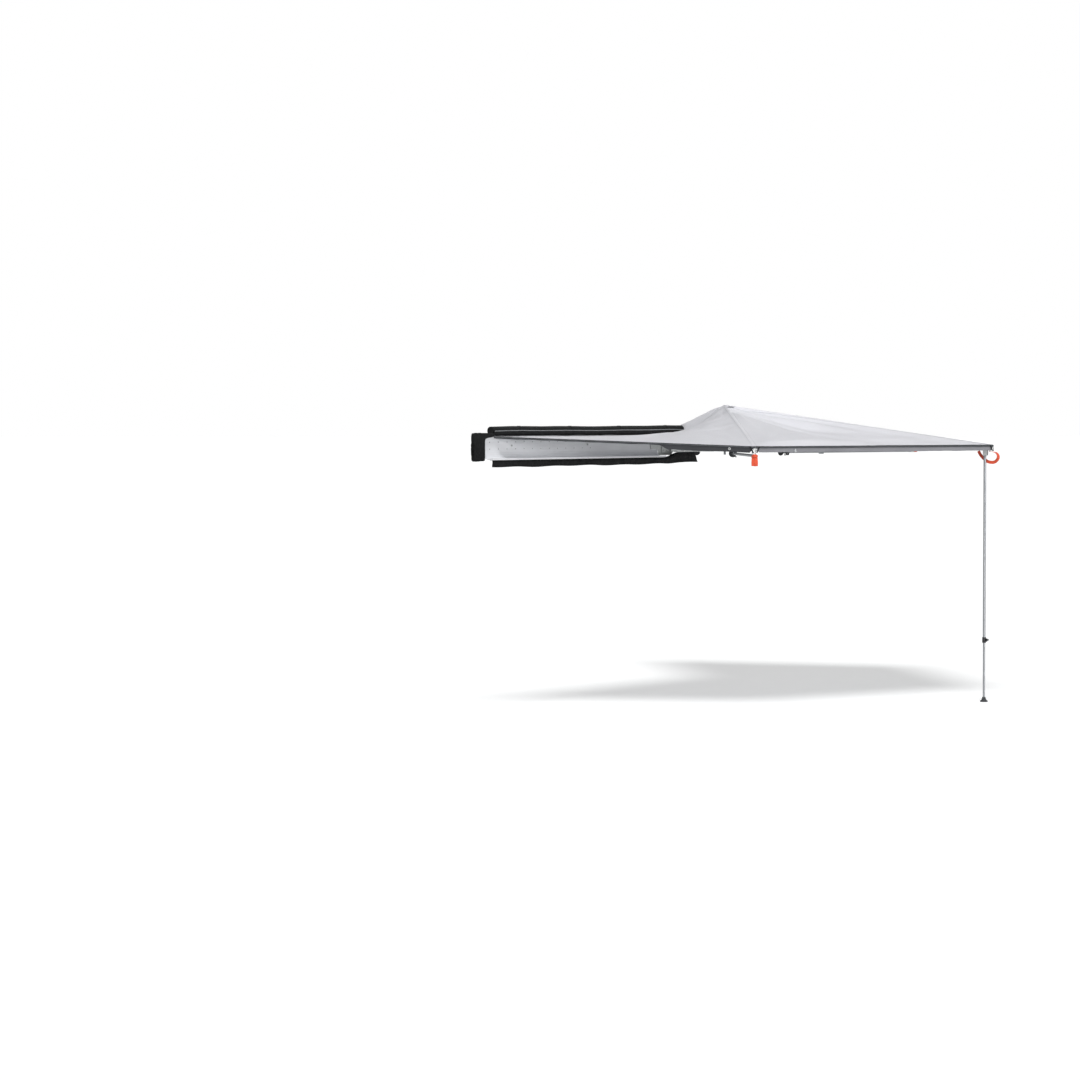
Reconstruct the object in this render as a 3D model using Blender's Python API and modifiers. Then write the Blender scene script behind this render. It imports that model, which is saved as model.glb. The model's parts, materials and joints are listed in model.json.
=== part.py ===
"""Vehicle side awning: a wall-less fan canopy that opens around the rear corner of a vehicle.

A long aluminium tray bolts to the side of a roof rack. An outrigger at its rear end carries a
hollow hub sleeve. Four arms swing on a chain of vertical pins that starts at this sleeve, and
spread five fabric panels. A mast slides in the sleeve and lifts the middle of the canopy. Each
arm holds a two-piece leg under its tip: leg 2 is down and drawn out, the others are folded up.

Frame, in metres: +X along the tray towards the vehicle's front, +Y away from the vehicle, +Z up.
The origin is the middle of the underside of the middle rack bracket.
"""
import math

import bmesh
import bpy
from mathutils import Matrix, Vector

# General clearances
GAP = 0.0003                 # between pieces that touch
RUN_GAP = 0.0006             # between pieces that move past each other

# Tray: a coved aluminium extrusion
TRAY_FRONT_X = 1.235
TRAY_REAR_X = -1.240
TRAY_PLATE_REAR_X = -0.890   # behind this only the top strip goes on
TRAY_BACK_Y = 0.036
TRAY_DEPTH = 0.085
TRAY_WALL = 0.0025
TRAY_FLOOR_Z = 0.0005
TRAY_COVE_R = 0.050
TRAY_LIP_HEIGHT = 0.0115
TRAY_STRIP_Z = 0.128         # underside of the strip that goes on to the rear
RAIL_BOTTOM_Z = 0.140
RAIL_TOP_Z = 0.170
RAIL_THICKNESS = 0.016
RAIL_MOUTH_Z = 0.162
RAIL_MOUTH_HEIGHT = 0.004
RAIL_SLOT_HEIGHT = 0.009
RAIL_SLOT_WALL = 0.0035
HOLE_R = 0.0045
HOLE_ROWS_Z = (0.075, 0.123)
HOLE_FIRST_X = 1.160
HOLE_PITCH = 0.100
HOLE_COLUMNS = 13

# Rack brackets: the middle one gives the origin
BRACKET_XS = (("rack_bracket_front", 0.910), ("rack_bracket_middle", 0.0),
              ("rack_bracket_rear", -0.790))
BRACKET_WIDTH = 0.050
BRACKET_THICKNESS = 0.005
BRACKET_FOOT_REACH = 0.030   # the foot goes this far to each side of the origin's line
BRACKET_HEIGHT = 0.118
BRACKET_HOLE_R = 0.00425
BRACKET_HOLE_OFFSET = 0.015
STUD_R = 0.004
STUD_Z = 0.099
NUT_R = 0.0075
NUT_HEIGHT = 0.006

# Hub and arms
HUB_X = -1.360
HUB_Y = 0.326
ARM_LENGTH = 2.030           # from an arm's own pin to the corner of the canopy
ARM_AZIMUTHS = (39.0, 102.0, 166.0, 230.0)
NEXT_PIN_BACK = 0.045        # the next arm's pin lies this far behind an arm's own pin
NEXT_PIN_LEFT = 0.042        # and this far to its left
TUBE_WIDTH = 0.025
TUBE_BOTTOM_Z = 0.062
TUBE_TOP_Z = 0.088
TUBE_WALL = 0.002
TUBE_START = 0.105
TUBE_END_SETBACK = 0.046     # from the canopy's corner back to the tube's end
SADDLE_LENGTH = 0.030
SADDLE_DROP = 0.038

LINK_BOTTOM_Z = 0.0625
LINK_TOP_Z = 0.0855
FORK_PLATE = 0.005
TONGUE_GAP = 0.0005
TONGUE_R = 0.014
FORK_R = 0.012
LINK_BAR_WIDTH = 0.020
LINK_SHOULDER = 0.018
LINK_SPIGOT = 0.060
PIN_R = 0.005
PIN_CLEARANCE = 0.0003
PIN_HEAD_R = 0.008
PIN_HEAD_HEIGHT = 0.0027

SLEEVE_R = 0.013
SLEEVE_BORE_R = 0.009
SLEEVE_TOP_Z = 0.135
SLEEVE_FLANGE_R = 0.018
SLEEVE_FLANGE_HEIGHT = 0.0055
HUB_BARREL_R = 0.019

# Outrigger between the tray's rear end and the hub
OUTRIGGER_REACH = 0.405      # from the hub's axis to its post
OUTRIGGER_AZIMUTH = -41.3
OUTRIGGER_EYE_R = 0.022
OUTRIGGER_PLATE = 0.006
OUTRIGGER_FORK_LENGTH = 0.090
OUTRIGGER_WEB_HALF = 0.012
TOP_BAR_HALF = 0.010
BEAM_THICKNESS = 0.008
BEAM_SLOT_STARTS = (0.130, 0.250)
BEAM_SLOT_LENGTH = 0.090
BEAM_SLOT_HEIGHT = 0.010
BEAM_BOTTOM_Z = 0.038
BEAM_TOP_Z = 0.066
POST_LENGTH = 0.014
POST_WIDTH = 0.016
FLANGE_FRONT_X = -0.935
FLANGE_REAR_X = -1.075
FLANGE_BOTTOM_Z = 0.030
FLANGE_TOP_Z = 0.104
HINGE_PLATE_THICKNESS = 0.006
HINGE_PLATE_FRONT_X = -0.800
HINGE_PLATE_BOTTOM_Z = 0.0136
HINGE_PLATE_TOP_Z = 0.120

# Peak mast
PEAK_Z = 0.383
MAST_R = 0.0087
MAST_WALL = 0.0014
MAST_BOTTOM_Z = 0.015
CAP_R = 0.015
CAP_HEIGHT = 0.016

# Corner bracket under each arm's tip
LEG_PIVOT_SETBACK = 0.060    # from the canopy's corner back to the leg's pivot
LEG_PIVOT_Z = 0.030
BRACKET_END_SETBACK = 0.030
CHEEK_THICKNESS = 0.003
CHEEK_FRONT = 0.020
CHEEK_REAR = 0.012
CHEEK_DROP = 0.012
CORNER_SADDLE = 0.0055
PLUG_LENGTH = 0.045
LEG_PIN_R = 0.004
LUG_REACH = 0.013
LUG_WIDTH = 0.010

# Strap ring and straps
RING_WIRE_R = 0.002
RING_WIDTH = 0.044
RING_TOP_Z = 0.081
RING_BOTTOM_Z = 0.048
RING_FLAT = 0.0006           # the wire's flat sides and the fold's flat top leave this free
STRAP_THICKNESS = 0.0024
STRAP_WIDTH = 0.025
STRAP_FOLDS = 4
STRAP_FOLD_PITCH = 0.0155
STRAP_BUNDLE_LENGTH = 0.090
STRAP_TUCKED_LENGTH = 0.034
LOOP_STRAP_WIDTH = 0.020

# Legs, measured from the pivot along the leg
LEG_R = 0.010
LEG_WALL = 0.0015
LEG_UPPER_LENGTH = 1.350
LEG_HEAD_LENGTH = 0.030
LEG_INSERT = 0.108           # what stays in the upper tube when the leg is drawn out
LEG_TRAVEL = 0.380
COLLAR_R = 0.014
COLLAR_LENGTH = 0.040
COLLAR_BELOW_TUBE = 0.015
EAR_THICKNESS = 0.004
EAR_WIDTH = 0.012
LEVER_OUT = 0.021
LEVER_SIDE = -0.008
LEVER_HEIGHT = 0.014
LEVER_LENGTH = 0.028
LEVER_THICKNESS = 0.007
LEVER_BARREL_R = 0.0045
LEVER_PIN_R = 0.002
FOOT_BASE_R = 0.028
FOOT_BASE_HEIGHT = 0.009
FOOT_CONE_HEIGHT = 0.026
FOOT_NECK_R = 0.011
FOOT_SHOULDER_R = 0.019
FOOT_SOCKET_DEPTH = 0.024
FOOT_CLEARANCE = 0.013       # between the collar and the foot when the leg is pushed in
# From the pivot to the underside of the foot, drawn out
LEG_REACH = (LEG_UPPER_LENGTH + LEG_TRAVEL + COLLAR_BELOW_TUBE + FOOT_BASE_HEIGHT
             + FOOT_CONE_HEIGHT + FOOT_CLEARANCE)

# Canopy
RIM_Z = 0.095
FABRIC = 0.0025
HIP_INSET = 0.00018
PEAK_HOLE_R = 0.020
PANEL_SAG = 0.030
RAIL_EDGE_FRONT_X = 1.130
RAIL_EDGE_GAP = 0.0003       # the slanting fabric's edge keeps this far from the rail
VALANCE_DROP = 0.041
SIDE_VALANCE_DROP = 0.044
SIDE_VALANCE_SHORT = 0.014
SIDE_VALANCE_START = 0.38
SIDE_VALANCE_FULL = 0.56
CORNER_NOTCH = 0.036

# Travel cover, rolled up and hanging down
COVER_R = 0.030
COVER_REAR_X = -1.230
COVER_Y = 0.021
COVER_WAVE = 0.0025
END_FLAP_LENGTH = 0.140
END_FLAP_DEPTH = 0.034
END_FLAP_TOP_Z = 0.190
END_FLAP_BOTTOM_Z = -0.010
END_FLAP_ARM_DEPTH = 0.030
LOWER_FLAP_FRONT_X = 1.230
LOWER_FLAP_TAIL_XS = (-0.930, -0.975, -1.030, -1.100, -1.170, -1.235, -1.290)
LOWER_FLAP_TAIL_RISE = 0.029
LOWER_FLAP_DROP = 0.058
LOWER_FLAP_THICKNESS = 0.003
LOWER_FLAP_WAVE = 0.006


def clear_scene():
    """Remove every object of the open scene."""
    for item in list(bpy.data.objects):
        bpy.data.objects.remove(item, do_unlink=True)


def new_collection(name):
    """Make a collection in the scene and return it."""
    group = bpy.data.collections.new(name)
    bpy.context.scene.collection.children.link(group)
    return group


def new_material(name, colour, roughness, metallic=0.0):
    """Make a Principled material with one colour."""
    material = bpy.data.materials.new(name)
    material.use_nodes = True
    shader = material.node_tree.nodes["Principled BSDF"]
    shader.inputs["Base Color"].default_value = (*colour, 1.0)
    shader.inputs["Roughness"].default_value = roughness
    shader.inputs["Metallic"].default_value = metallic
    material.diffuse_color = (*colour, 1.0)
    return material


def object_from_bmesh(shape, name):
    """Turn a bmesh into a loose object, not yet in a collection."""
    mesh = bpy.data.meshes.new(name)
    shape.to_mesh(mesh)
    shape.free()
    return bpy.data.objects.new(name, mesh)


def box(low, high):
    """A solid box between two corners."""
    low, high = Vector(low), Vector(high)
    shape = bmesh.new()
    size = high - low
    place = Matrix.Translation((low + high) / 2) @ Matrix.Diagonal((*size, 1.0))
    bmesh.ops.create_cube(shape, size=1.0, matrix=place)
    return object_from_bmesh(shape, "box")


def cylinder(start, end, radius, sides=16):
    """A solid cylinder between two points."""
    start, end = Vector(start), Vector(end)
    turn = Vector((0, 0, 1)).rotation_difference(end - start).to_matrix().to_4x4()
    place = Matrix.Translation((start + end) / 2) @ turn
    shape = bmesh.new()
    bmesh.ops.create_cone(shape, cap_ends=True, segments=sides, radius1=radius, radius2=radius,
                          depth=(end - start).length, matrix=place)
    return object_from_bmesh(shape, "cylinder")


def mesh_of(item):
    """The evaluated mesh of an object, in the scene's coordinates, with its caps welded."""
    bpy.context.scene.collection.objects.link(item)
    bpy.context.view_layer.update()
    evaluated = item.evaluated_get(bpy.context.evaluated_depsgraph_get())
    mesh = bpy.data.meshes.new_from_object(evaluated)
    mesh.transform(item.matrix_world)
    shape = bmesh.new()
    shape.from_mesh(mesh)
    bmesh.ops.remove_doubles(shape, verts=shape.verts, dist=1e-6)
    bmesh.ops.recalc_face_normals(shape, faces=shape.faces)
    shape.to_mesh(mesh)
    shape.free()
    bpy.data.objects.remove(item, do_unlink=True)
    return mesh


def plate(outline, low, high):
    """A flat outline in X and Y, filled and given its thickness between two heights."""
    curve = bpy.data.curves.new("plate", "CURVE")
    curve.dimensions = "2D"
    curve.fill_mode = "BOTH"
    curve.extrude = (high - low) / 2
    line = curve.splines.new("POLY")
    line.points.add(len(outline) - 1)
    for point, (x, y) in zip(line.points, outline):
        point.co = (x, y, 0, 1)
    line.use_cyclic_u = True
    item = bpy.data.objects.new("plate", curve)
    item.location.z = (low + high) / 2
    return bpy.data.objects.new("plate", mesh_of(item))


def capsule(start, end, radius, steps=6):
    """The outline of a bar with round ends between two points."""
    start, end = Vector(start), Vector(end)
    heading = math.atan2(end.y - start.y, end.x - start.x)
    outline = []
    for centre, first in ((end, heading - math.pi / 2), (start, heading + math.pi / 2)):
        for step in range(steps + 1):
            angle = first + math.pi * step / steps
            outline.append((centre.x + radius * math.cos(angle),
                            centre.y + radius * math.sin(angle)))
    return outline


def turned(profile, sides=12):
    """A closed profile of (radius, height) pairs turned about Z."""
    shape = bmesh.new()
    points = [shape.verts.new((radius, 0, height)) for radius, height in profile]
    edges = [shape.edges.new(pair) for pair in zip(points, points[1:])]
    if profile[0][0] > 0:
        edges.append(shape.edges.new((points[-1], points[0])))
    item = object_from_bmesh(shape, "turned")
    screw = item.modifiers.new("Screw", "SCREW")
    screw.steps = sides
    screw.render_steps = sides
    screw.use_merge_vertices = True
    screw.merge_threshold = 0.00001
    return bpy.data.objects.new("turned", mesh_of(item))


def combined(first, others, operation):
    """Join or cut one solid with others by exact Booleans."""
    linked = []
    for number, other in enumerate(others):
        bpy.context.scene.collection.objects.link(other)
        linked.append(other)
        modifier = first.modifiers.new(f"Boolean {number}", "BOOLEAN")
        modifier.operation = operation
        modifier.solver = "EXACT"
        modifier.object = other
    mesh = mesh_of(first)
    for other in linked:
        bpy.data.objects.remove(other, do_unlink=True)
    return bpy.data.objects.new("solid", mesh)


def joined(first, *others):
    """The union of solids that touch."""
    return combined(first, others, "UNION")


def cut(first, *others):
    """A solid with others cut out of it."""
    return combined(first, others, "DIFFERENCE")


def thickened(item, thickness, offset):
    """An open surface given a wall with Solidify."""
    solidify = item.modifiers.new("Solidify", "SOLIDIFY")
    solidify.thickness = thickness
    solidify.offset = offset
    solidify.use_even_offset = False
    return bpy.data.objects.new("shell", mesh_of(item))


def wire(points, radius, sides_resolution=2, cyclic=False, radii=None):
    """A round wire or roll along points."""
    curve = bpy.data.curves.new("wire", "CURVE")
    curve.dimensions = "3D"
    curve.bevel_depth = radius
    curve.bevel_resolution = sides_resolution
    curve.use_fill_caps = not cyclic
    line = curve.splines.new("POLY")
    line.points.add(len(points) - 1)
    for number, (point, place) in enumerate(zip(line.points, points)):
        point.co = (*place, 1)
        point.radius = radii[number] if radii else 1.0
    line.use_cyclic_u = cyclic
    return bpy.data.objects.new("wire", mesh_of(bpy.data.objects.new("wire", curve)))


def grid(rows):
    """An open surface through rows of points."""
    shape = bmesh.new()
    lines = [[shape.verts.new(point) for point in row] for row in rows]
    for lower, upper in zip(lines, lines[1:]):
        for number in range(len(lower) - 1):
            shape.faces.new((lower[number], lower[number + 1],
                             upper[number + 1], upper[number]))
    return object_from_bmesh(shape, "grid")


def smooth_path(points, per_span=3):
    """Points on a Catmull-Rom curve through the given ones."""
    places = [Vector(point) for point in points]
    places = [2 * places[0] - places[1], *places, 2 * places[-1] - places[-2]]
    path = []
    for before, start, end, after in zip(places, places[1:], places[2:], places[3:]):
        for step in range(per_span):
            t = step / per_span
            path.append(0.5 * (2 * start + (end - before) * t
                               + (2 * before - 5 * start + 4 * end - after) * t * t
                               + (3 * start - before - 3 * end + after) * t ** 3))
    path.append(places[-2])
    return path


def ribbon(path, across, width):
    """An open band of a width along a path, with its width along one direction."""
    half = Vector(across).normalized() * width / 2
    return grid([[point - half for point in path], [point + half for point in path]])


class Assembly:
    """Places finished solids as named pieces under the empties that carry them."""

    def __init__(self, collection):
        self.collection = collection
        self.materials = {
            "aluminium": new_material("Aluminium", (0.62, 0.63, 0.64), 0.35, 1.0),
            "arm metal": new_material("Arm aluminium", (0.42, 0.43, 0.44), 0.45, 1.0),
            "steel": new_material("Zinc plated steel", (0.58, 0.58, 0.56), 0.40, 1.0),
            "black plastic": new_material("Black nylon", (0.03, 0.03, 0.033), 0.55),
            "rubber": new_material("Rubber", (0.025, 0.025, 0.025), 0.80),
            "canvas": new_material("Ripstop canvas", (0.62, 0.64, 0.66), 0.85),
            "cover": new_material("Coated cover cloth", (0.03, 0.032, 0.035), 0.60),
            "webbing": new_material("Orange webbing", (0.80, 0.13, 0.05), 0.75),
        }

    def frame(self, name, place, parent=None):
        """An empty that carries pieces."""
        empty = bpy.data.objects.new(name, None)
        empty.empty_display_size = 0.05
        self.collection.objects.link(empty)
        empty.parent = parent
        empty.matrix_local = place
        return empty

    def add(self, name, solid, material, parent=None):
        """Name a solid, give it its material and hang it under its carrier."""
        piece = bpy.data.objects.new(name, solid.data)
        self.collection.objects.link(piece)
        piece.parent = parent
        if not piece.data.materials:
            piece.data.materials.append(self.materials[material])
        piece.data.shade_smooth()
        piece.data.set_sharp_from_angle(angle=math.radians(35))
        return piece


def tray_profile():
    """The tray's section as (Y, Z) points: rail head, back wall, cove, floor and lip."""
    back = TRAY_BACK_Y
    front = back + TRAY_DEPTH
    inner = back + TRAY_WALL
    cove_y = inner + TRAY_COVE_R
    cove_z = TRAY_FLOOR_Z + TRAY_WALL + TRAY_COVE_R
    head = back + RAIL_THICKNESS
    mouth_low = RAIL_MOUTH_Z - RAIL_MOUTH_HEIGHT / 2
    mouth_high = RAIL_MOUTH_Z + RAIL_MOUTH_HEIGHT / 2
    slot_low = RAIL_MOUTH_Z - RAIL_SLOT_HEIGHT / 2
    slot_high = RAIL_MOUTH_Z + RAIL_SLOT_HEIGHT / 2
    points = [(back, RAIL_TOP_Z)]
    for step in range(7):
        angle = math.pi * (1 + step / 12)
        radius = TRAY_COVE_R + TRAY_WALL
        points.append((cove_y + radius * math.cos(angle), cove_z + radius * math.sin(angle)))
    points += [(front, TRAY_FLOOR_Z), (front, TRAY_FLOOR_Z + TRAY_LIP_HEIGHT),
               (front - TRAY_WALL, TRAY_FLOOR_Z + TRAY_LIP_HEIGHT),
               (front - TRAY_WALL, TRAY_FLOOR_Z + TRAY_WALL)]
    for step in range(7):
        angle = math.pi * (1.5 - step / 12)
        points.append((cove_y + TRAY_COVE_R * math.cos(angle),
                       cove_z + TRAY_COVE_R * math.sin(angle)))
    points += [(inner, RAIL_BOTTOM_Z), (head, RAIL_BOTTOM_Z), (head, mouth_low),
               (head - RAIL_SLOT_WALL, mouth_low), (head - RAIL_SLOT_WALL, slot_low),
               (back + RAIL_SLOT_WALL, slot_low), (back + RAIL_SLOT_WALL, slot_high),
               (head - RAIL_SLOT_WALL, slot_high), (head - RAIL_SLOT_WALL, mouth_high),
               (head, mouth_high), (head, RAIL_TOP_Z)]
    return points


def along_x(outline, rear, front):
    """A (Y, Z) outline drawn along X between two places."""
    solid = plate(outline, rear, front)
    solid.data.transform(Matrix(((0, 0, 1, 0), (1, 0, 0, 0), (0, 1, 0, 0), (0, 0, 0, 1))))
    return solid


def build_tray():
    """The extruded tray with its shortened plate, perforations and stud holes."""
    body = along_x(tray_profile(), TRAY_REAR_X, TRAY_FRONT_X)
    back = TRAY_BACK_Y
    cutters = [box((TRAY_REAR_X - 0.01, back - 0.01, TRAY_FLOOR_Z - 0.01),
                   (TRAY_PLATE_REAR_X, back + TRAY_DEPTH + 0.01, TRAY_STRIP_Z))]
    through = (back - TRAY_WALL, back + 2 * TRAY_WALL)
    for column in range(HOLE_COLUMNS):
        x = HOLE_FIRST_X - HOLE_PITCH * column
        for z in HOLE_ROWS_Z:
            cutters.append(cylinder((x, through[0], z), (x, through[1], z), HOLE_R, sides=8))
    for _, x in BRACKET_XS:
        cutters.append(cylinder((x, through[0], STUD_Z), (x, through[1], STUD_Z),
                                STUD_R + GAP, sides=12))
    return cut(body, *cutters)


def build_rack_bracket():
    """An L bracket with two foot holes and a captive stud and nut, at X = 0."""
    half = BRACKET_WIDTH / 2
    wall = TRAY_BACK_Y - GAP
    foot = box((-half, -BRACKET_FOOT_REACH, 0), (half, wall, BRACKET_THICKNESS))
    upright = box((-half, wall - BRACKET_THICKNESS, 0), (half, wall, BRACKET_HEIGHT))
    nut_start = TRAY_BACK_Y + TRAY_WALL + GAP
    stud = cylinder((0, wall - BRACKET_THICKNESS - 0.002, STUD_Z),
                    (0, nut_start + NUT_HEIGHT + 0.002, STUD_Z), STUD_R, sides=12)
    nut = cylinder((0, nut_start, STUD_Z), (0, nut_start + NUT_HEIGHT, STUD_Z), NUT_R, sides=6)
    holes = [cylinder((side * BRACKET_HOLE_OFFSET, 0, -0.01),
                      (side * BRACKET_HOLE_OFFSET, 0, 0.02), BRACKET_HOLE_R, sides=12)
             for side in (-1, 1)]
    return cut(joined(foot, upright, stud, nut), *holes)


def build_hinge_plate():
    """The flat plate that bolts to the tray's rear end and carries the outrigger."""
    step_x = TRAY_PLATE_REAR_X - 0.005
    cove_top = TRAY_FLOOR_Z + TRAY_WALL + TRAY_COVE_R
    outline = [(HINGE_PLATE_FRONT_X, cove_top + 0.007), (HINGE_PLATE_FRONT_X, HINGE_PLATE_TOP_Z),
               (FLANGE_REAR_X, HINGE_PLATE_TOP_Z), (FLANGE_REAR_X, HINGE_PLATE_BOTTOM_Z),
               (step_x, HINGE_PLATE_BOTTOM_Z), (step_x, cove_top + 0.007)]
    low = TRAY_BACK_Y + TRAY_WALL + GAP
    solid = plate(outline, -low - HINGE_PLATE_THICKNESS, -low)
    solid.data.transform(Matrix.Rotation(math.pi / 2, 4, "X"))
    return solid


def build_outrigger():
    """The welded arm between the hinge plate and the hub, in the row frame."""
    reach = OUTRIGGER_REACH
    lower = (LINK_BOTTOM_Z - TONGUE_GAP - OUTRIGGER_PLATE, LINK_BOTTOM_Z - TONGUE_GAP)
    upper = (LINK_TOP_Z + TONGUE_GAP, LINK_TOP_Z + TONGUE_GAP + OUTRIGGER_PLATE)
    eye = capsule((0, 0), (OUTRIGGER_FORK_LENGTH, 0), OUTRIGGER_EYE_R)
    web = (OUTRIGGER_FORK_LENGTH - 0.018, OUTRIGGER_FORK_LENGTH + 0.014)
    beam_start = OUTRIGGER_FORK_LENGTH - 0.005
    parts = [
        plate(eye, *upper),
        box((web[0], -OUTRIGGER_WEB_HALF, lower[0] + 0.001),
            (web[1], OUTRIGGER_WEB_HALF, upper[1] - 0.001)),
        box((beam_start, -BEAM_THICKNESS / 2, BEAM_BOTTOM_Z),
            (reach, BEAM_THICKNESS / 2, BEAM_TOP_Z)),
        box((beam_start, -TOP_BAR_HALF, upper[0] + 0.0005),
            (reach, TOP_BAR_HALF, upper[1] - 0.0005)),
        box((reach - POST_LENGTH / 2, -POST_WIDTH / 2, FLANGE_BOTTOM_Z + 0.003),
            (reach + POST_LENGTH / 2, POST_WIDTH / 2, FLANGE_TOP_Z - 0.003)),
    ]
    arm = joined(plate(eye, *lower), *parts)
    slot_z = (BEAM_BOTTOM_Z + BEAM_TOP_Z - BEAM_SLOT_HEIGHT) / 2
    slots = [box((x, -0.02, slot_z), (x + BEAM_SLOT_LENGTH, 0.02, slot_z + BEAM_SLOT_HEIGHT))
             for x in BEAM_SLOT_STARTS]
    bore = cylinder((0, 0, 0), (0, 0, 0.2), SLEEVE_R + PIN_CLEARANCE, sides=20)
    arm = cut(arm, bore, *slots)
    arm.data.transform(Matrix.Translation((HUB_X, HUB_Y, 0))
                       @ Matrix.Rotation(math.radians(OUTRIGGER_AZIMUTH), 4, "Z"))
    start = TRAY_BACK_Y + TRAY_WALL + HINGE_PLATE_THICKNESS + 2 * GAP
    flange = box((FLANGE_REAR_X, start, FLANGE_BOTTOM_Z),
                 (FLANGE_FRONT_X, start + OUTRIGGER_PLATE, FLANGE_TOP_Z))
    return joined(arm, flange)


def build_sleeve():
    """The hollow hub pin: the first arm turns on it and the mast slides in it."""
    bottom = LINK_BOTTOM_Z - TONGUE_GAP - OUTRIGGER_PLATE - GAP
    top = LINK_TOP_Z + TONGUE_GAP + OUTRIGGER_PLATE + GAP
    profile = [(SLEEVE_BORE_R, SLEEVE_TOP_Z), (SLEEVE_R, SLEEVE_TOP_Z),
               (SLEEVE_R, top + SLEEVE_FLANGE_HEIGHT), (SLEEVE_FLANGE_R, top + SLEEVE_FLANGE_HEIGHT),
               (SLEEVE_FLANGE_R, top), (SLEEVE_R, top), (SLEEVE_R, bottom),
               (SLEEVE_FLANGE_R, bottom), (SLEEVE_FLANGE_R, bottom - SLEEVE_FLANGE_HEIGHT),
               (SLEEVE_BORE_R, bottom - SLEEVE_FLANGE_HEIGHT)]
    return turned(profile, sides=20)


def build_pin():
    """A pin with two low heads between the plates of a fork."""
    low = LINK_BOTTOM_Z - GAP
    high = LINK_TOP_Z + GAP
    profile = [(0, high + PIN_HEAD_HEIGHT), (PIN_HEAD_R, high + PIN_HEAD_HEIGHT),
               (PIN_HEAD_R, high), (PIN_R, high), (PIN_R, low), (PIN_HEAD_R, low),
               (PIN_HEAD_R, low - PIN_HEAD_HEIGHT), (0, low - PIN_HEAD_HEIGHT)]
    return turned(profile, sides=12)


def build_hub_link(first, last):
    """The link between an arm's own pin, its tube and the next arm's pin.

    The first arm's barrel fills the whole height around the hub sleeve. The last arm has no fork.
    """
    tongue = (LINK_BOTTOM_Z + FORK_PLATE + TONGUE_GAP, LINK_TOP_Z - FORK_PLATE - TONGUE_GAP)
    own = (LINK_BOTTOM_Z, LINK_TOP_Z) if first else tongue
    own_r = HUB_BARREL_R if first else TONGUE_R
    own_bore = (SLEEVE_R if first else PIN_R) + PIN_CLEARANCE
    inner_half = TUBE_WIDTH / 2 - TUBE_WALL - GAP
    parts = [
        box((0, -LINK_BAR_WIDTH / 2, tongue[0]), (TUBE_START, LINK_BAR_WIDTH / 2, tongue[1])),
        box((TUBE_START - LINK_SHOULDER, -TUBE_WIDTH / 2, LINK_BOTTOM_Z),
            (TUBE_START - GAP, TUBE_WIDTH / 2, LINK_TOP_Z)),
        box((TUBE_START - 0.005, -inner_half, TUBE_BOTTOM_Z + TUBE_WALL + GAP),
            (TUBE_START + LINK_SPIGOT, inner_half, TUBE_TOP_Z - TUBE_WALL - GAP)),
    ]
    bores = [cylinder((0, 0, 0), (0, 0, 0.2), own_bore, sides=24 if first else 12)]
    if not last:
        next_pin = Vector((-NEXT_PIN_BACK, NEXT_PIN_LEFT))
        middle = next_pin / 2
        web_r = TONGUE_R - 0.003
        parts.append(plate(capsule((0, 0), middle, web_r), *tongue))
        parts.append(cylinder((*middle, LINK_BOTTOM_Z), (*middle, LINK_TOP_Z), web_r, sides=12))
        fork = capsule(middle, next_pin, FORK_R)
        parts.append(plate(fork, LINK_BOTTOM_Z, LINK_BOTTOM_Z + FORK_PLATE))
        parts.append(plate(fork, LINK_TOP_Z - FORK_PLATE, LINK_TOP_Z))
        bores.append(cylinder((*next_pin, 0), (*next_pin, 0.2), PIN_R + PIN_CLEARANCE, sides=12))
    barrel = cylinder((0, 0, own[0]), (0, 0, own[1]), own_r, sides=24)
    return cut(joined(barrel, *parts), *bores)


def build_arm_tube():
    """The square arm tube, with a saddle of two cheeks under it for the folded leg."""
    end = ARM_LENGTH - TUBE_END_SETBACK
    half = TUBE_WIDTH / 2
    bore = box((TUBE_START - 0.01, -half + TUBE_WALL, TUBE_BOTTOM_Z + TUBE_WALL),
               (end + 0.01, half - TUBE_WALL, TUBE_TOP_Z - TUBE_WALL))
    tube = cut(box((TUBE_START, -half, TUBE_BOTTOM_Z), (end, half, TUBE_TOP_Z)), bore)
    saddle_x = ARM_LENGTH - LEG_PIVOT_SETBACK - LEG_UPPER_LENGTH + 0.100
    cheeks = [box((saddle_x - SADDLE_LENGTH / 2, min(inner, outer), TUBE_BOTTOM_Z - SADDLE_DROP),
                  (saddle_x + SADDLE_LENGTH / 2, max(inner, outer), TUBE_BOTTOM_Z + 0.001))
              for inner, outer in ((LEG_R + RUN_GAP, half), (-LEG_R - RUN_GAP, -half))]
    return joined(tube, *cheeks)


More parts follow.
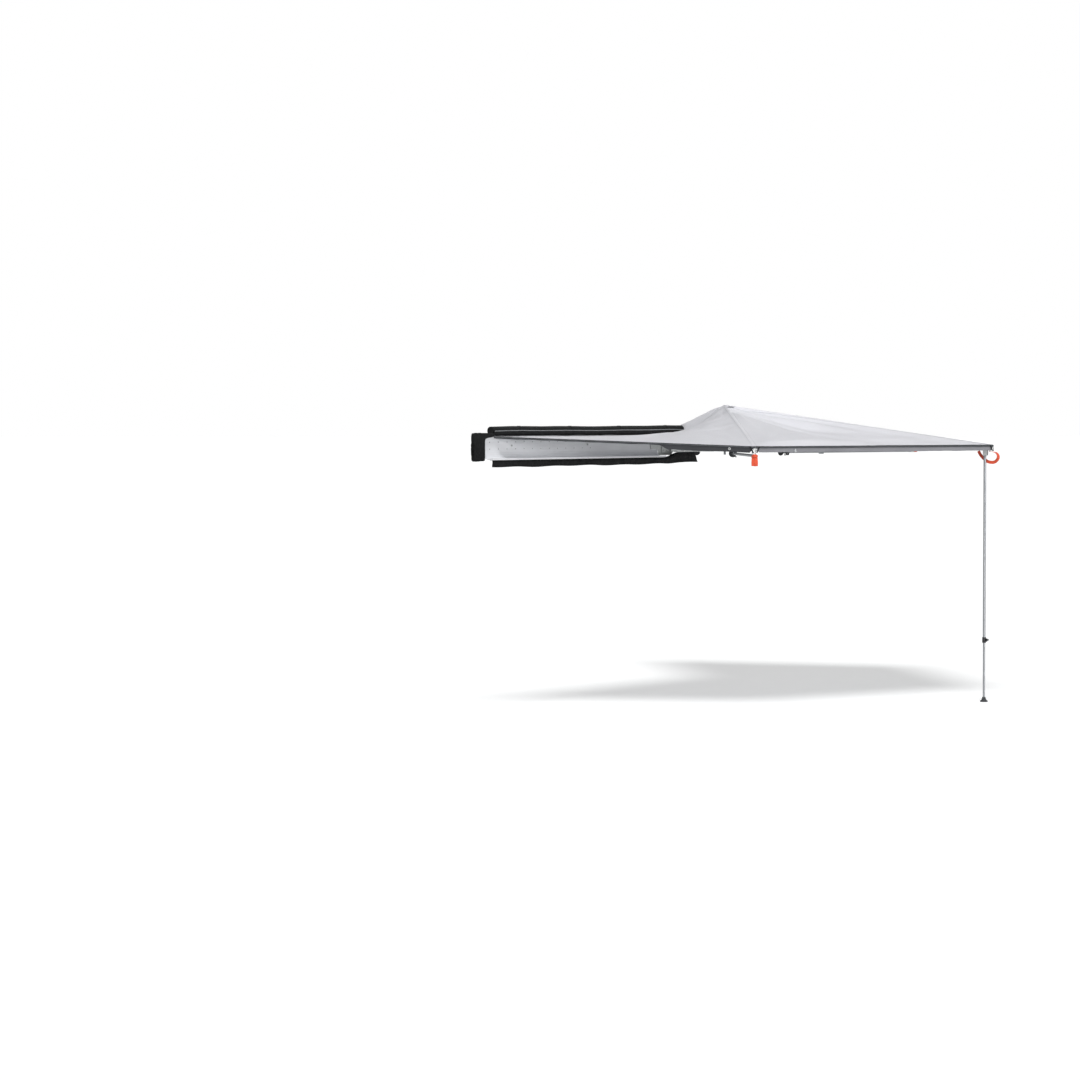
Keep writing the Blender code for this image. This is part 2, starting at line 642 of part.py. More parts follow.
def build_corner_bracket():
    """The moulded tip: a plug in the tube, two cheeks with the leg's pin, and the ring's lug."""
    pivot = ARM_LENGTH - LEG_PIVOT_SETBACK
    tube_end = ARM_LENGTH - TUBE_END_SETBACK
    end = ARM_LENGTH - BRACKET_END_SETBACK
    inner_half = TUBE_WIDTH / 2 - TUBE_WALL - GAP
    cheek_in = LEG_R + RUN_GAP
    cheek_out = cheek_in + CHEEK_THICKNESS
    saddle = (TUBE_BOTTOM_Z - GAP - CORNER_SADDLE, TUBE_BOTTOM_Z - GAP)
    parts = [
        box((tube_end - PLUG_LENGTH, -inner_half, TUBE_BOTTOM_Z + TUBE_WALL + GAP),
            (tube_end + 0.010, inner_half, TUBE_TOP_Z - TUBE_WALL - GAP)),
        box((pivot - CHEEK_REAR, -cheek_out, saddle[0]), (end - 0.003, cheek_out, saddle[1])),
        cylinder((pivot, -cheek_out + 0.0005, LEG_PIVOT_Z),
                 (pivot, cheek_out - 0.0005, LEG_PIVOT_Z), LEG_PIN_R, sides=16),
        box((end - 0.004, -LUG_WIDTH / 2, RING_TOP_Z - 0.007),
            (end + LUG_REACH, LUG_WIDTH / 2, RING_TOP_Z + 0.006)),
    ]
    for side in (-1, 1):
        low, high = sorted((side * cheek_in, side * cheek_out))
        parts.append(box((pivot - CHEEK_REAR, low, LEG_PIVOT_Z - CHEEK_DROP),
                         (pivot + CHEEK_FRONT, high, saddle[0] + 0.002)))
    block = box((tube_end + GAP, -TUBE_WIDTH / 2, saddle[0] + 0.001),
                (end, TUBE_WIDTH / 2, TUBE_TOP_Z))
    ring_x = ARM_LENGTH - BRACKET_END_SETBACK + LUG_REACH / 2
    hole = cylinder((ring_x, -0.02, RING_TOP_Z), (ring_x, 0.02, RING_TOP_Z),
                    RING_WIRE_R + GAP, sides=12)
    return cut(joined(block, *parts), hole)


def build_strap_ring():
    """The triangular wire ring that hangs in the bracket's lug."""
    x = ARM_LENGTH - BRACKET_END_SETBACK + LUG_REACH / 2
    half = RING_WIDTH / 2
    corner = 0.004
    points = [(x, -half + corner, RING_TOP_Z), (x, half - corner, RING_TOP_Z),
              (x, half, RING_TOP_Z - corner / 2), (x, half - corner / 2, RING_TOP_Z - corner),
              (x, corner, RING_BOTTOM_Z), (x, -corner, RING_BOTTOM_Z),
              (x, -half + corner / 2, RING_TOP_Z - corner), (x, -half, RING_TOP_Z - corner / 2)]
    return wire(points, RING_WIRE_R, sides_resolution=1, cyclic=True)


def build_strap_bundle(length):
    """Spare webbing folded to and fro and hung under the ring."""
    x = ARM_LENGTH - BRACKET_END_SETBACK + LUG_REACH / 2 + 0.004
    top = RING_BOTTOM_Z - RING_WIRE_R + RING_FLAT - STRAP_THICKNESS / 2
    loop_r = STRAP_FOLD_PITCH / 2
    first_y = -STRAP_FOLD_PITCH * (STRAP_FOLDS - 1) / 2
    points = []
    for fold in range(STRAP_FOLDS):
        y = first_y + STRAP_FOLD_PITCH * fold
        ends = (top - loop_r, top - length + loop_r)
        start, end = ends if fold % 2 == 0 else reversed(ends)
        points += [Vector((x, y, start)), Vector((x, y, end))]
        if fold < STRAP_FOLDS - 1:
            turn = -1 if fold % 2 == 0 else 1
            for step in range(1, 5):
                angle = math.pi * (1 - step / 5)
                points.append(Vector((x, y + loop_r + loop_r * math.cos(angle),
                                      end + turn * loop_r * math.sin(angle))))
    return thickened(ribbon(points, (1, 0, 0), STRAP_WIDTH), STRAP_THICKNESS, 0)


def build_strap_loop():
    """The webbing of the deployed corner: it hangs in a loop past the arm's end."""
    side = LEG_R + RUN_GAP + CHEEK_THICKNESS + GAP + LOOP_STRAP_WIDTH / 2
    ring_x = ARM_LENGTH - BRACKET_END_SETBACK + LUG_REACH / 2
    top = RING_BOTTOM_Z - RING_WIRE_R - GAP - STRAP_THICKNESS / 2
    route = [(ring_x - 0.006, 0, top), (ring_x + 0.018, 0.002, top)]
    route += [(ARM_LENGTH + past, y, z) for past, y, z in
              ((0.028, 0.006, 0.034), (0.047, 0.012, 0.012), (0.040, 0.019, -0.014),
               (0.004, side, -0.040), (-0.040, side, -0.034), (-0.066, side, -0.010),
               (-0.085, side, 0.022), (-0.092, side, 0.048))]
    band = ribbon(smooth_path(route), (0, 1, 0), LOOP_STRAP_WIDTH)
    return thickened(band, STRAP_THICKNESS, 0)


def build_leg_upper():
    """The upper leg tube with its solid pivot head. The leg runs along +X from the pivot."""
    head = cylinder((0, -LEG_R, 0), (0, LEG_R, 0), LEG_R, sides=16)
    neck = box((0, -LEG_R, -LEG_R + 0.001), (LEG_HEAD_LENGTH * 0.6, LEG_R, LEG_R - 0.001))
    tube = cylinder((LEG_HEAD_LENGTH * 0.4, 0, 0), (LEG_UPPER_LENGTH, 0, 0), LEG_R, sides=16)
    bore = cylinder((LEG_HEAD_LENGTH, 0, 0), (LEG_UPPER_LENGTH + 0.01, 0, 0), LEG_R - LEG_WALL,
                    sides=16)
    eye = cylinder((0, -0.02, 0), (0, 0.02, 0), LEG_PIN_R + PIN_CLEARANCE, sides=16)
    return cut(joined(tube, head, neck), bore, eye)


def collar_span():
    """Where the collar starts and ends along the leg."""
    end = LEG_UPPER_LENGTH + COLLAR_BELOW_TUBE
    return end - COLLAR_LENGTH, end


def build_leg_collar():
    """The clamp collar over the upper tube's end, with two ears for its lever."""
    start, end = collar_span()
    body = cylinder((start, 0, 0), (end, 0, 0), COLLAR_R, sides=16)
    seat = cylinder((start - 0.01, 0, 0), (LEG_UPPER_LENGTH + GAP, 0, 0), LEG_R + GAP, sides=16)
    bore = cylinder((start, 0, 0), (end + 0.01, 0, 0), LEG_R - LEG_WALL + GAP, sides=16)
    middle = (start + end) / 2
    ears = []
    for side in (-1, 1):
        inner = middle + side * (LEVER_HEIGHT / 2 + GAP)
        low, high = sorted((inner, inner + side * EAR_THICKNESS))
        ears.append(box((low, LEVER_SIDE - EAR_WIDTH / 2, 0.008),
                        (high, LEVER_SIDE + EAR_WIDTH / 2, LEVER_OUT + 0.004)))
    pin_hole = cylinder((start, LEVER_SIDE, LEVER_OUT), (end, LEVER_SIDE, LEVER_OUT),
                        LEVER_PIN_R + PIN_CLEARANCE, sides=12)
    return cut(joined(body, *ears), seat, bore, pin_hole)


def build_leg_lever():
    """The cam lever with its own stub pins. It turns about a line along the leg."""
    start, end = collar_span()
    middle = (start + end) / 2
    half = LEVER_HEIGHT / 2
    pin_half = half + GAP + EAR_THICKNESS
    barrel = cylinder((-half, 0, 0), (half, 0, 0), LEVER_BARREL_R, sides=16)
    pin = cylinder((-pin_half, 0, 0), (pin_half, 0, 0), LEVER_PIN_R, sides=12)
    handle = box((-half + 0.0005, 0, -LEVER_THICKNESS / 2 + 0.0015),
                 (half - 0.0005, LEVER_LENGTH, LEVER_THICKNESS / 2 + 0.0005))
    tip = box((-half + 0.001, LEVER_LENGTH - 0.006, 0),
              (half - 0.001, LEVER_LENGTH + 0.002, LEVER_THICKNESS / 2 + 0.003))
    lever = joined(barrel, pin, handle, tip)
    return lever, Vector((middle, LEVER_SIDE, LEVER_OUT))


def build_leg_lower():
    """The lower tube as it lies when drawn out."""
    start = LEG_UPPER_LENGTH - LEG_INSERT
    end = LEG_REACH - FOOT_BASE_HEIGHT - FOOT_CONE_HEIGHT + FOOT_SOCKET_DEPTH - GAP
    radius = LEG_R - LEG_WALL - GAP
    tube = cylinder((start, 0, 0), (end, 0, 0), radius, sides=16)
    bore = cylinder((start - 0.01, 0, 0), (end + 0.01, 0, 0),
                    radius - LEG_WALL, sides=16)
    return cut(tube, bore)


def build_leg_foot():
    """The rubber foot on the drawn-out lower tube: a cone over a round base."""
    top = FOOT_BASE_HEIGHT + FOOT_CONE_HEIGHT
    socket = LEG_R - LEG_WALL
    profile = [(socket, top), (FOOT_NECK_R, top), (FOOT_SHOULDER_R, FOOT_BASE_HEIGHT + 0.004),
               (FOOT_BASE_R, FOOT_BASE_HEIGHT), (FOOT_BASE_R, 0.001), (FOOT_BASE_R - 0.001, 0),
               (0, 0)]
    foot = turned([(0, top - FOOT_SOCKET_DEPTH), (socket, top - FOOT_SOCKET_DEPTH)] + profile,
                  sides=16)
    foot.data.transform(Matrix.Translation((LEG_REACH, 0, 0))
                        @ Matrix.Rotation(-math.pi / 2, 4, "Y"))
    return foot


def arm_places():
    """For each arm, the place of its own pin and its heading in the row frame."""
    places = []
    pin = Vector((HUB_X, HUB_Y, 0))
    step = Vector((-NEXT_PIN_BACK, NEXT_PIN_LEFT, 0))
    for azimuth in ARM_AZIMUTHS:
        turn = Matrix.Rotation(math.radians(azimuth), 4, "Z")
        places.append(Matrix.Translation(pin) @ turn)
        pin = pin + turn @ step
    return places


def smoothstep(low, high, value):
    """A soft step from 0 to 1 between two values."""
    t = min(1.0, max(0.0, (value - low) / (high - low)))
    return t * t * (3 - 2 * t)


def hung_panel(top, rim, sag, drop, notches):
    """One canopy panel as a solid cloth, with the valance under its rim.

    top and rim are the two ends of the upper edge and of the rim. drop gives the valance's height
    at a share of the rim, or is None, and notches are the lengths left bare at its two ends. The
    cloth's underside lies straight below its upper side, so that neighbours keep their gap.
    """
    columns, rows = 11, 7
    up = Vector((0, 0, 1))
    hips = [(Vector(rim[end]) - Vector(top[end])).normalized() for end in (0, 1)]
    outer = []
    for row in range(rows):
        v = row / (rows - 1)
        line = []
        for column in range(columns):
            u = column / (columns - 1)
            upper = Vector(top[0]).lerp(Vector(top[1]), u)
            lower = Vector(rim[0]).lerp(Vector(rim[1]), u)
            point = upper.lerp(lower, v)
            point.z -= sag * 4 * u * (1 - u) * math.sin(math.pi * v ** 1.2)
            line.append(point)
        for end, other in ((0, 1), (-1, -2)):
            away = (line[other] - line[end]).normalized()
            side = hips[end].cross(up).normalized()
            line[end] = line[end] + away * HIP_INSET / abs(away.dot(side))
        outer.append(line)
    inner = [[point - FABRIC * up for point in line] for line in outer]
    if drop:
        along = (Vector(rim[1]) - Vector(rim[0])).normalized()
        inward = up.cross(along).normalized()
        if inward.dot(Vector(top[1]) - Vector(rim[1])) < 0:
            inward.negate()
        shifts = [inward * FABRIC for _ in range(columns)]
        for end in (0, -1):
            level = Vector((*hips[end].xy, 0)).normalized()
            shifts[end] = level * FABRIC / level.dot(inward)
        inner[-1] = [point + shift for point, shift in zip(inner[-1], shifts)]
        hem = []
        for number, point in enumerate(outer[-1]):
            low = point - drop(number / (columns - 1)) * up
            if number == 0:
                low += along * notches[0]
            if number == columns - 1:
                low -= along * notches[1]
            hem.append(low)
        outer.append(hem)
        inner.append([point + shift for point, shift in zip(hem, shifts)])
    return closed_cloth(outer, inner)


def closed_cloth(outer, inner):
    """The solid between two surfaces that have the same rows of points."""
    shape = bmesh.new()
    sides = [[[shape.verts.new(point) for point in line] for line in lines]
             for lines in (outer, inner)]
    last = len(outer[0]) - 1
    for side in sides:
        for upper, lower in zip(side, side[1:]):
            for number in range(last):
                shape.faces.new((upper[number], lower[number],
                                 lower[number + 1], upper[number + 1]))
    front, back = sides
    for row in (0, -1):
        for number in range(last):
            shape.faces.new((front[row][number], front[row][number + 1],
                             back[row][number + 1], back[row][number]))
    for column in (0, last):
        for row in range(len(outer) - 1):
            shape.faces.new((front[row][column], front[row + 1][column],
                             back[row + 1][column], back[row][column]))
    bmesh.ops.recalc_face_normals(shape, faces=shape.faces)
    return object_from_bmesh(shape, "panel")


def build_panels(corners):
    """The five canopy panels from the rail round to the closing flap."""
    peak = Vector((HUB_X, HUB_Y, PEAK_Z))
    rail_y = TRAY_BACK_Y + RAIL_THICKNESS + RAIL_EDGE_GAP
    rail_rear = Vector((TRAY_REAR_X + 0.002, rail_y, RAIL_MOUTH_Z))
    rail_front = Vector((RAIL_EDGE_FRONT_X, rail_y, RAIL_MOUTH_Z))

    def near_peak(corner):
        return peak + (corner - peak).normalized() * PEAK_HOLE_R

    def side_drop(u):
        share = smoothstep(SIDE_VALANCE_START, SIDE_VALANCE_FULL, u)
        return SIDE_VALANCE_SHORT + (SIDE_VALANCE_DROP - SIDE_VALANCE_SHORT) * share

    def full_drop(_):
        return VALANCE_DROP

    panels = [("canopy_panel_1", (rail_rear, near_peak(corners[0])), (rail_front, corners[0]),
               PANEL_SAG, side_drop, (0, CORNER_NOTCH))]
    for number, (start, end) in enumerate(zip(corners, corners[1:])):
        panels.append((f"canopy_panel_{number + 2}", (near_peak(start), near_peak(end)),
                       (start, end), PANEL_SAG, full_drop, (CORNER_NOTCH, CORNER_NOTCH)))
    last = corners[-1]
    flap_end = rail_rear + Vector((-0.006, 0, 0))
    panels.append(("canopy_panel_5", (near_peak(last), near_peak(flap_end)), (last, flap_end),
                   PANEL_SAG, None, (0, 0)))
    return [(name, hung_panel(top, rim, sag, drop, notches))
            for name, top, rim, sag, drop, notches in panels]


def build_cover_roll():
    """The travel cover rolled up on top of the rail."""
    count = 19
    centre_z = RAIL_TOP_Z + COVER_R + COVER_WAVE * 1.2
    points, radii = [], []
    for number in range(count):
        share = number / (count - 1)
        x = COVER_REAR_X + (RAIL_EDGE_FRONT_X - COVER_REAR_X) * share
        wave = math.sin(9.0 * share + 0.6) * 0.6 + math.sin(23.0 * share) * 0.4
        points.append((x, COVER_Y, centre_z + COVER_WAVE * wave))
        radii.append(1.0 - 0.05 * (1 + math.sin(17.0 * share + 1.0)) / 2)
    return wire(points, COVER_R, sides_resolution=2, radii=radii)


def build_end_flap():
    """The cover's front end, hanging as a soft box with a neck to the roll."""
    start = TRAY_FRONT_X + GAP
    low_y = TRAY_BACK_Y
    block = box((start, low_y, END_FLAP_BOTTOM_Z),
                (start + END_FLAP_LENGTH, low_y + END_FLAP_DEPTH, END_FLAP_TOP_Z))
    bevel = block.modifiers.new("Bevel", "BEVEL")
    bevel.width = 0.014
    bevel.segments = 3
    block = bpy.data.objects.new("flap", mesh_of(block))
    neck_y = TRAY_BACK_Y - 0.012
    neck = box((RAIL_EDGE_FRONT_X + GAP, neck_y, RAIL_TOP_Z + GAP),
               (start + 0.040, neck_y + END_FLAP_ARM_DEPTH, END_FLAP_TOP_Z - 0.001))
    return joined(block, neck)


def build_lower_flap():
    """The cover's lower part: it hangs in slow waves, and its free tail lies higher."""
    count = 24
    under = TRAY_FLOOR_Z - GAP - LOWER_FLAP_THICKNESS / 2
    floor_end = TRAY_PLATE_REAR_X - 0.003
    front_y = TRAY_BACK_Y + TRAY_DEPTH - 0.010
    span = LOWER_FLAP_FRONT_X - floor_end
    places = [LOWER_FLAP_FRONT_X - span * number / (count - 1) for number in range(count)]
    rows = [[], [], [], []]
    for x in reversed(places + list(LOWER_FLAP_TAIL_XS)):
        share = (x - floor_end) / span
        wave = math.sin(31.0 * share) * 0.6 + math.sin(13.0 * share + 1.0) * 0.4
        top = under + LOWER_FLAP_TAIL_RISE * smoothstep(-floor_end, 1.030, -x)
        hem = top - LOWER_FLAP_DROP + LOWER_FLAP_WAVE * wave
        rows[0].append((x, front_y - 0.020, top))
        rows[1].append((x, front_y, top))
        rows[2].append((x, front_y + 0.003, (top + hem) / 2))
        rows[3].append((x, front_y + LOWER_FLAP_WAVE * wave, hem))
    return thickened(grid(rows), LOWER_FLAP_THICKNESS, 0)


def build_mast(assembly, carrier):
    """The sliding mast and its cap."""
    cap_seat = PEAK_Z - CAP_HEIGHT - 0.005
    tube = cut(cylinder((0, 0, MAST_BOTTOM_Z), (0, 0, cap_seat), MAST_R, sides=16),
               cylinder((0, 0, MAST_BOTTOM_Z - 0.01), (0, 0, cap_seat + 0.01),
                        MAST_R - MAST_WALL, sides=16))
    assembly.add("peak_mast", tube, "aluminium", carrier)
    stub_r = MAST_R - MAST_WALL - GAP
    low = cap_seat + GAP
    profile = [(0, low + CAP_HEIGHT), (CAP_R * 0.5, low + CAP_HEIGHT * 0.85),
               (CAP_R * 0.9, low + CAP_HEIGHT * 0.45), (CAP_R, low + CAP_HEIGHT * 0.15),
               (CAP_R, low), (stub_r, low), (stub_r, low - 0.025), (0, low - 0.025)]
    assembly.add("mast_cap", turned(profile, sides=12), "black plastic", carrier)


def build_case(assembly):
    """Everything that stays with the rack."""
    case = assembly.frame("case", Matrix.Identity(4))
    assembly.add("tray", build_tray(), "aluminium", case)
    bracket = build_rack_bracket()
    for name, x in BRACKET_XS:
        place = assembly.frame(f"{name} place", Matrix.Translation((x, 0, 0)), case)
        assembly.add(name, bracket, "steel", place)
    assembly.add("hinge_plate", build_hinge_plate(), "steel", case)
    assembly.add("outrigger", build_outrigger(), "steel", case)
    assembly.add("cover_roll", build_cover_roll(), "cover", case)
    assembly.add("cover_end_flap", build_end_flap(), "cover", case)
    assembly.add("cover_lower_flap", build_lower_flap(), "cover", case)
    hub = assembly.frame("hub", Matrix.Translation((HUB_X, HUB_Y, 0)), case)
    assembly.add("hub_sleeve", build_sleeve(), "steel", hub)
    build_mast(assembly, hub)
    return case


def build_arms(assembly):
    """The four arms with their legs."""
    tube = build_arm_tube()
    tip = build_corner_bracket()
    ring = build_strap_ring()
    bundle = build_strap_bundle(STRAP_BUNDLE_LENGTH)
    tucked = build_strap_bundle(STRAP_TUCKED_LENGTH)
    loop = build_strap_loop()
    pin = build_pin()
    upper = build_leg_upper()
    collar = build_leg_collar()
    lever, lever_place = build_leg_lever()
    lower = build_leg_lower()
    foot = build_leg_foot()
    places = arm_places()
    for index, place in enumerate(places):
        number = index + 1
        deployed = number == 2
        arm = assembly.frame(f"arm {number}", place)
        link = build_hub_link(index == 0, number == len(places))
        assembly.add(f"arm_{number}_hub_link", link, "steel", arm)
        assembly.add(f"arm_{number}_tube", tube, "arm metal", arm)
        assembly.add(f"arm_{number}_corner_bracket", tip, "steel", arm)
        assembly.add(f"arm_{number}_strap_ring", ring, "steel", arm)
        strap = loop if deployed else bundle if index == 0 else tucked
        assembly.add(f"arm_{number}_strap", strap, "webbing", arm)
        if index:
            assembly.add(f"arm_{number}_pin", pin, "steel", arm)
        lean = Matrix.Rotation(math.radians(90 if deployed else 180), 4, "Y")
        pivot = Matrix.Translation((ARM_LENGTH - LEG_PIVOT_SETBACK, 0, LEG_PIVOT_Z)) @ lean
        leg = assembly.frame(f"leg {number}", pivot, arm)
        assembly.add(f"leg_{number}_upper_tube", upper, "aluminium", leg)
        assembly.add(f"leg_{number}_collar", collar, "black plastic", leg)
        lever_axis = assembly.frame(f"lever {number}", Matrix.Translation(lever_place), leg)
        assembly.add(f"leg_{number}_cam_lever", lever, "black plastic", lever_axis)
        drawn = Matrix.Translation((0 if deployed else -LEG_TRAVEL, 0, 0))
        inner = assembly.frame(f"extension {number}", drawn, leg)
        assembly.add(f"leg_{number}_lower_tube", lower, "aluminium", inner)
        assembly.add(f"leg_{number}_foot", foot, "rubber", inner)
    return places


def main():
    """Build the whole awning."""
    clear_scene()
    assembly = Assembly(new_collection("Vehicle side awning"))
    case = build_case(assembly)
    places = build_arms(assembly)
    corners = [place @ Vector((ARM_LENGTH, 0, RIM_Z)) for place in places]
    for name, panel in build_panels(corners):
        assembly.add(name, panel, "canvas", case)


main()
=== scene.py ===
"""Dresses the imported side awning: canopy cloth, webbing, travel cover, fasteners and finishes.

Everything is in metres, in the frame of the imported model: +X along the tray towards the
vehicle's front, +Y away from the vehicle, +Z up. A share runs from 0 to 1.
"""
import json
import logging
import math
from contextlib import contextmanager
from dataclasses import dataclass
from enum import Enum
from typing import Any, Callable, ClassVar, Iterable, Iterator, Sequence

import bmesh
import bpy
from mathutils import Matrix, Quaternion, Vector, noise

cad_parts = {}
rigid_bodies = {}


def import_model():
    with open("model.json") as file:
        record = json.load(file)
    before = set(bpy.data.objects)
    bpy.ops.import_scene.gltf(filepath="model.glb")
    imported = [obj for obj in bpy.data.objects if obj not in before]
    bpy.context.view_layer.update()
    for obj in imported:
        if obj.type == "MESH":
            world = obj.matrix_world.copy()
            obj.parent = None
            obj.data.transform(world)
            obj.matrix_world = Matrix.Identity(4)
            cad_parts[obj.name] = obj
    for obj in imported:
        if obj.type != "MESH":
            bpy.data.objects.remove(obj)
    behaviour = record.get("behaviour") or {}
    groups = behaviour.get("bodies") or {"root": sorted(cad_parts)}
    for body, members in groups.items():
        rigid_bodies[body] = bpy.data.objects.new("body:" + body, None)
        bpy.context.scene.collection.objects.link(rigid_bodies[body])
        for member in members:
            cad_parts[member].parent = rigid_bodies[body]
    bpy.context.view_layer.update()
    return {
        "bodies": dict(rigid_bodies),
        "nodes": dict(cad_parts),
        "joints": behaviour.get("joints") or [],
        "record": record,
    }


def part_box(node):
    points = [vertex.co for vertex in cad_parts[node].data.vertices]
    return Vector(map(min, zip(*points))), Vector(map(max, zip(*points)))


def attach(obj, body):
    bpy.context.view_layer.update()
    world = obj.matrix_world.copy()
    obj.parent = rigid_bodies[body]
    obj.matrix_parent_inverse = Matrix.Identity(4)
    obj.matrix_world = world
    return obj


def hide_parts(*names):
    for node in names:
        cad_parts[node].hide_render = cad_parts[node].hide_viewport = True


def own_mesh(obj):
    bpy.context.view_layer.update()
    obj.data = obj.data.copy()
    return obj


LOG = logging.getLogger("side awning")
UP = Vector((0.0, 0.0, 1.0))
OUT = Vector((0.0, 1.0, 0.0))
# A hung sheet was cut this much larger than the area that it shows.
EASE = 1.002

Piece = bpy.types.Object
Socket = bpy.types.NodeSocket
Place = Callable[[float, float], Vector]


class Hold(Enum):
    """How a sheet of cloth is held."""

    STRETCHED = "stretched"
    HUNG = "hung"
    FOLDED = "folded"


class Slot(Enum):
    """The record's material slots, handed to new pieces but not read when they are finished."""

    CANVAS = "canvas"
    COVER = "cover_cloth"
    WEBBING = "webbing"
    ZINC = "zinc_steel"


class End(Enum):
    """The two ends of a panel's rim."""

    START = 0
    FINISH = 1


def smoothstep(low: float, high: float, value: float) -> float:
    """Give a soft step that is 0 up to low and 1 from high on."""
    t = min(1.0, max(0.0, (value - low) / (high - low)))
    return t * t * (3 - 2 * t)


def hill(value: float, middle: float, width: float) -> float:
    """Give a bell that is 1 at its middle and fades over its width."""
    return math.exp(-((value - middle) / width) ** 2)


def wander(x: float, y: float, z: float) -> float:
    """Give smooth noise from about -1 to 1 at a place."""
    return noise.noise(Vector((x, y, z)))


def around(angle: float, radius: float) -> Vector:
    """Give a point of a circle round the X axis, counted from +Y."""
    return Vector((0.0, radius * math.cos(angle), radius * math.sin(angle)))


def along_points(points: Sequence[Vector], share: float) -> Vector:
    """Give the place at a share of a line through points.

    Args:
        points: the line.
        share: counted by points.

    Returns:
        The place.
    """
    where = share * (len(points) - 1)
    first = min(int(where), len(points) - 2)
    return points[first].lerp(points[first + 1], where - first)


def smooth_path(points: Sequence[Vector], per_span: int) -> list[Vector]:
    """Run a Catmull-Rom curve through points.

    Args:
        points: where it passes.
        per_span: steps between two of them.

    Returns:
        The points of the curve.
    """
    line = [2 * points[0] - points[1], *points, 2 * points[-1] - points[-2]]
    path: list[Vector] = []
    for before, start, end, after in zip(line, line[1:], line[2:], line[3:]):
        for t in (step / per_span for step in range(per_span)):
            path.append(0.5 * (2 * start + (end - before) * t
                               + (2 * before - 5 * start + 4 * end - after) * t * t
                               + (3 * start - before - 3 * end + after) * t ** 3))
    return [*path, points[-1].copy()]


def linear(colour: str) -> tuple[float, float, float, float]:
    """Turn an sRGB hex value, six digits after a hash sign, to a linear colour."""
    parts = [int(colour[start:start + 2], 16) / 255 for start in (1, 3, 5)]
    return (*(c / 12.92 if c <= 0.04045 else ((c + 0.055) / 1.055) ** 2.4 for c in parts), 1.0)


def deselect() -> None:
    """Leave edit mode and deselect everything."""
    if bpy.context.object and bpy.context.object.mode != "OBJECT":
        bpy.ops.object.mode_set(mode="OBJECT")
    bpy.ops.object.select_all(action="DESELECT")


def activate(piece: Piece) -> None:
    """Select one piece alone.

    Args:
        piece: the object.
    """
    deselect()
    piece.select_set(True)
    bpy.context.view_layer.objects.active = piece


def named(name: str) -> Piece:
    """Name the object that an operator has just added."""
    bpy.context.object.name = name
    return bpy.context.object


@contextmanager
def editing(piece: Piece, kind: str = "FACE", whole: bool = False) -> Iterator[bmesh.types.BMesh]:
    """Open one piece in edit mode.

    Args:
        piece: the mesh object.
        kind: VERT, EDGE or FACE.
        whole: whether all of it is selected, or nothing.

    Yields:
        The mesh that is being edited.
    """
    activate(piece)
    bpy.ops.object.mode_set(mode="EDIT")
    bpy.ops.mesh.select_mode(type=kind)
    bpy.ops.mesh.select_all(action="SELECT" if whole else "DESELECT")
    yield bmesh.from_edit_mesh(piece.data)
    bpy.ops.object.mode_set(mode="OBJECT")


def pick(piece: Piece, elements: Iterable[Any], test: Callable[[Any], bool]) -> None:
    """Select those faces or edges that pass a test.

    Args:
        piece: the object that is being edited.
        elements: its faces or edges.
        test: given one of them.
    """
    for element in elements:
        if test(element):
            element.select_set(True)
    bmesh.update_edit_mesh(piece.data)


def bevel(piece: Piece, width: float) -> None:
    """Round a piece's edges."""
    edge = piece.modifiers.new("Edges", "BEVEL")
    edge.width, edge.segments = width, 2


def finish_mesh(piece: Piece, angle: float) -> None:
    """Apply a piece's modifiers and place, and smooth it.

    Args:
        piece: the mesh object.
        angle: edges sharper than this, in degrees, stay sharp.
    """
    activate(piece)
    for modifier in list(piece.modifiers):
        bpy.ops.object.modifier_apply(modifier=modifier.name)
    bpy.ops.object.transform_apply(location=True, rotation=True, scale=True)
    bpy.ops.object.shade_smooth_by_angle(angle=math.radians(angle))


def cloth_grid(name: str, grid: tuple[int, int], place: Place, size: tuple[float, float],
               outward: Vector) -> Piece:
    """Lay a grid along a surface, with a UV map in metres.

    Args:
        name: the piece's name.
        grid: its faces across and along.
        place: gives a point for two shares.
        size: the cloth's width and length.
        outward: where its outer side looks.

    Returns:
        The sheet, still without thickness.
    """
    deselect()
    bpy.ops.mesh.primitive_grid_add(x_subdivisions=grid[0], y_subdivisions=grid[1], size=1.0)
    piece = named(name)
    for vert in piece.data.vertices:
        vert.co = place(vert.co.x + 0.5, vert.co.y + 0.5)
    for corner in piece.data.uv_layers.active.data:
        corner.uv = (corner.uv[0] * size[0], corner.uv[1] * size[1])
    piece.data.update()
    facing = sum((face.normal * face.area for face in piece.data.polygons), Vector())
    if facing.dot(outward) < 0:
        with editing(piece, whole=True):
            bpy.ops.mesh.flip_normals()
    return piece


def sheet_area(piece: Piece) -> float:
    """Give the area of a sheet that has no thickness yet."""
    return sum(face.area for face in piece.data.polygons)


def turn_map(piece: Piece) -> None:
    """Swap a tape's UV axes, so that its width runs along U."""
    for corner in piece.data.uv_layers.active.data:
        corner.uv = (corner.uv[1], corner.uv[0])


def close_tube(piece: Piece, fill: Callable[[], Any]) -> None:
    """Weld a tube that was made as a grid, and close its ends.

    Args:
        piece: the tube.
        fill: the operator that fills what is still open.
    """
    with editing(piece, "VERT", whole=True):
        bpy.ops.mesh.remove_doubles(threshold=0.00005)
    with editing(piece, "EDGE") as shape:
        pick(piece, shape.edges, lambda edge: edge.is_boundary)
        fill()
    with editing(piece, whole=True):
        bpy.ops.mesh.normals_make_consistent(inside=False)


def dress(piece: Piece, material: bpy.types.Material) -> None:
    """Give a piece one material on all its slots.

    Args:
        piece: the object.
        material: its finish.
    """
    if not piece.material_slots:
        piece.data.materials.append(material)
    for slot in piece.material_slots:
        slot.material = material


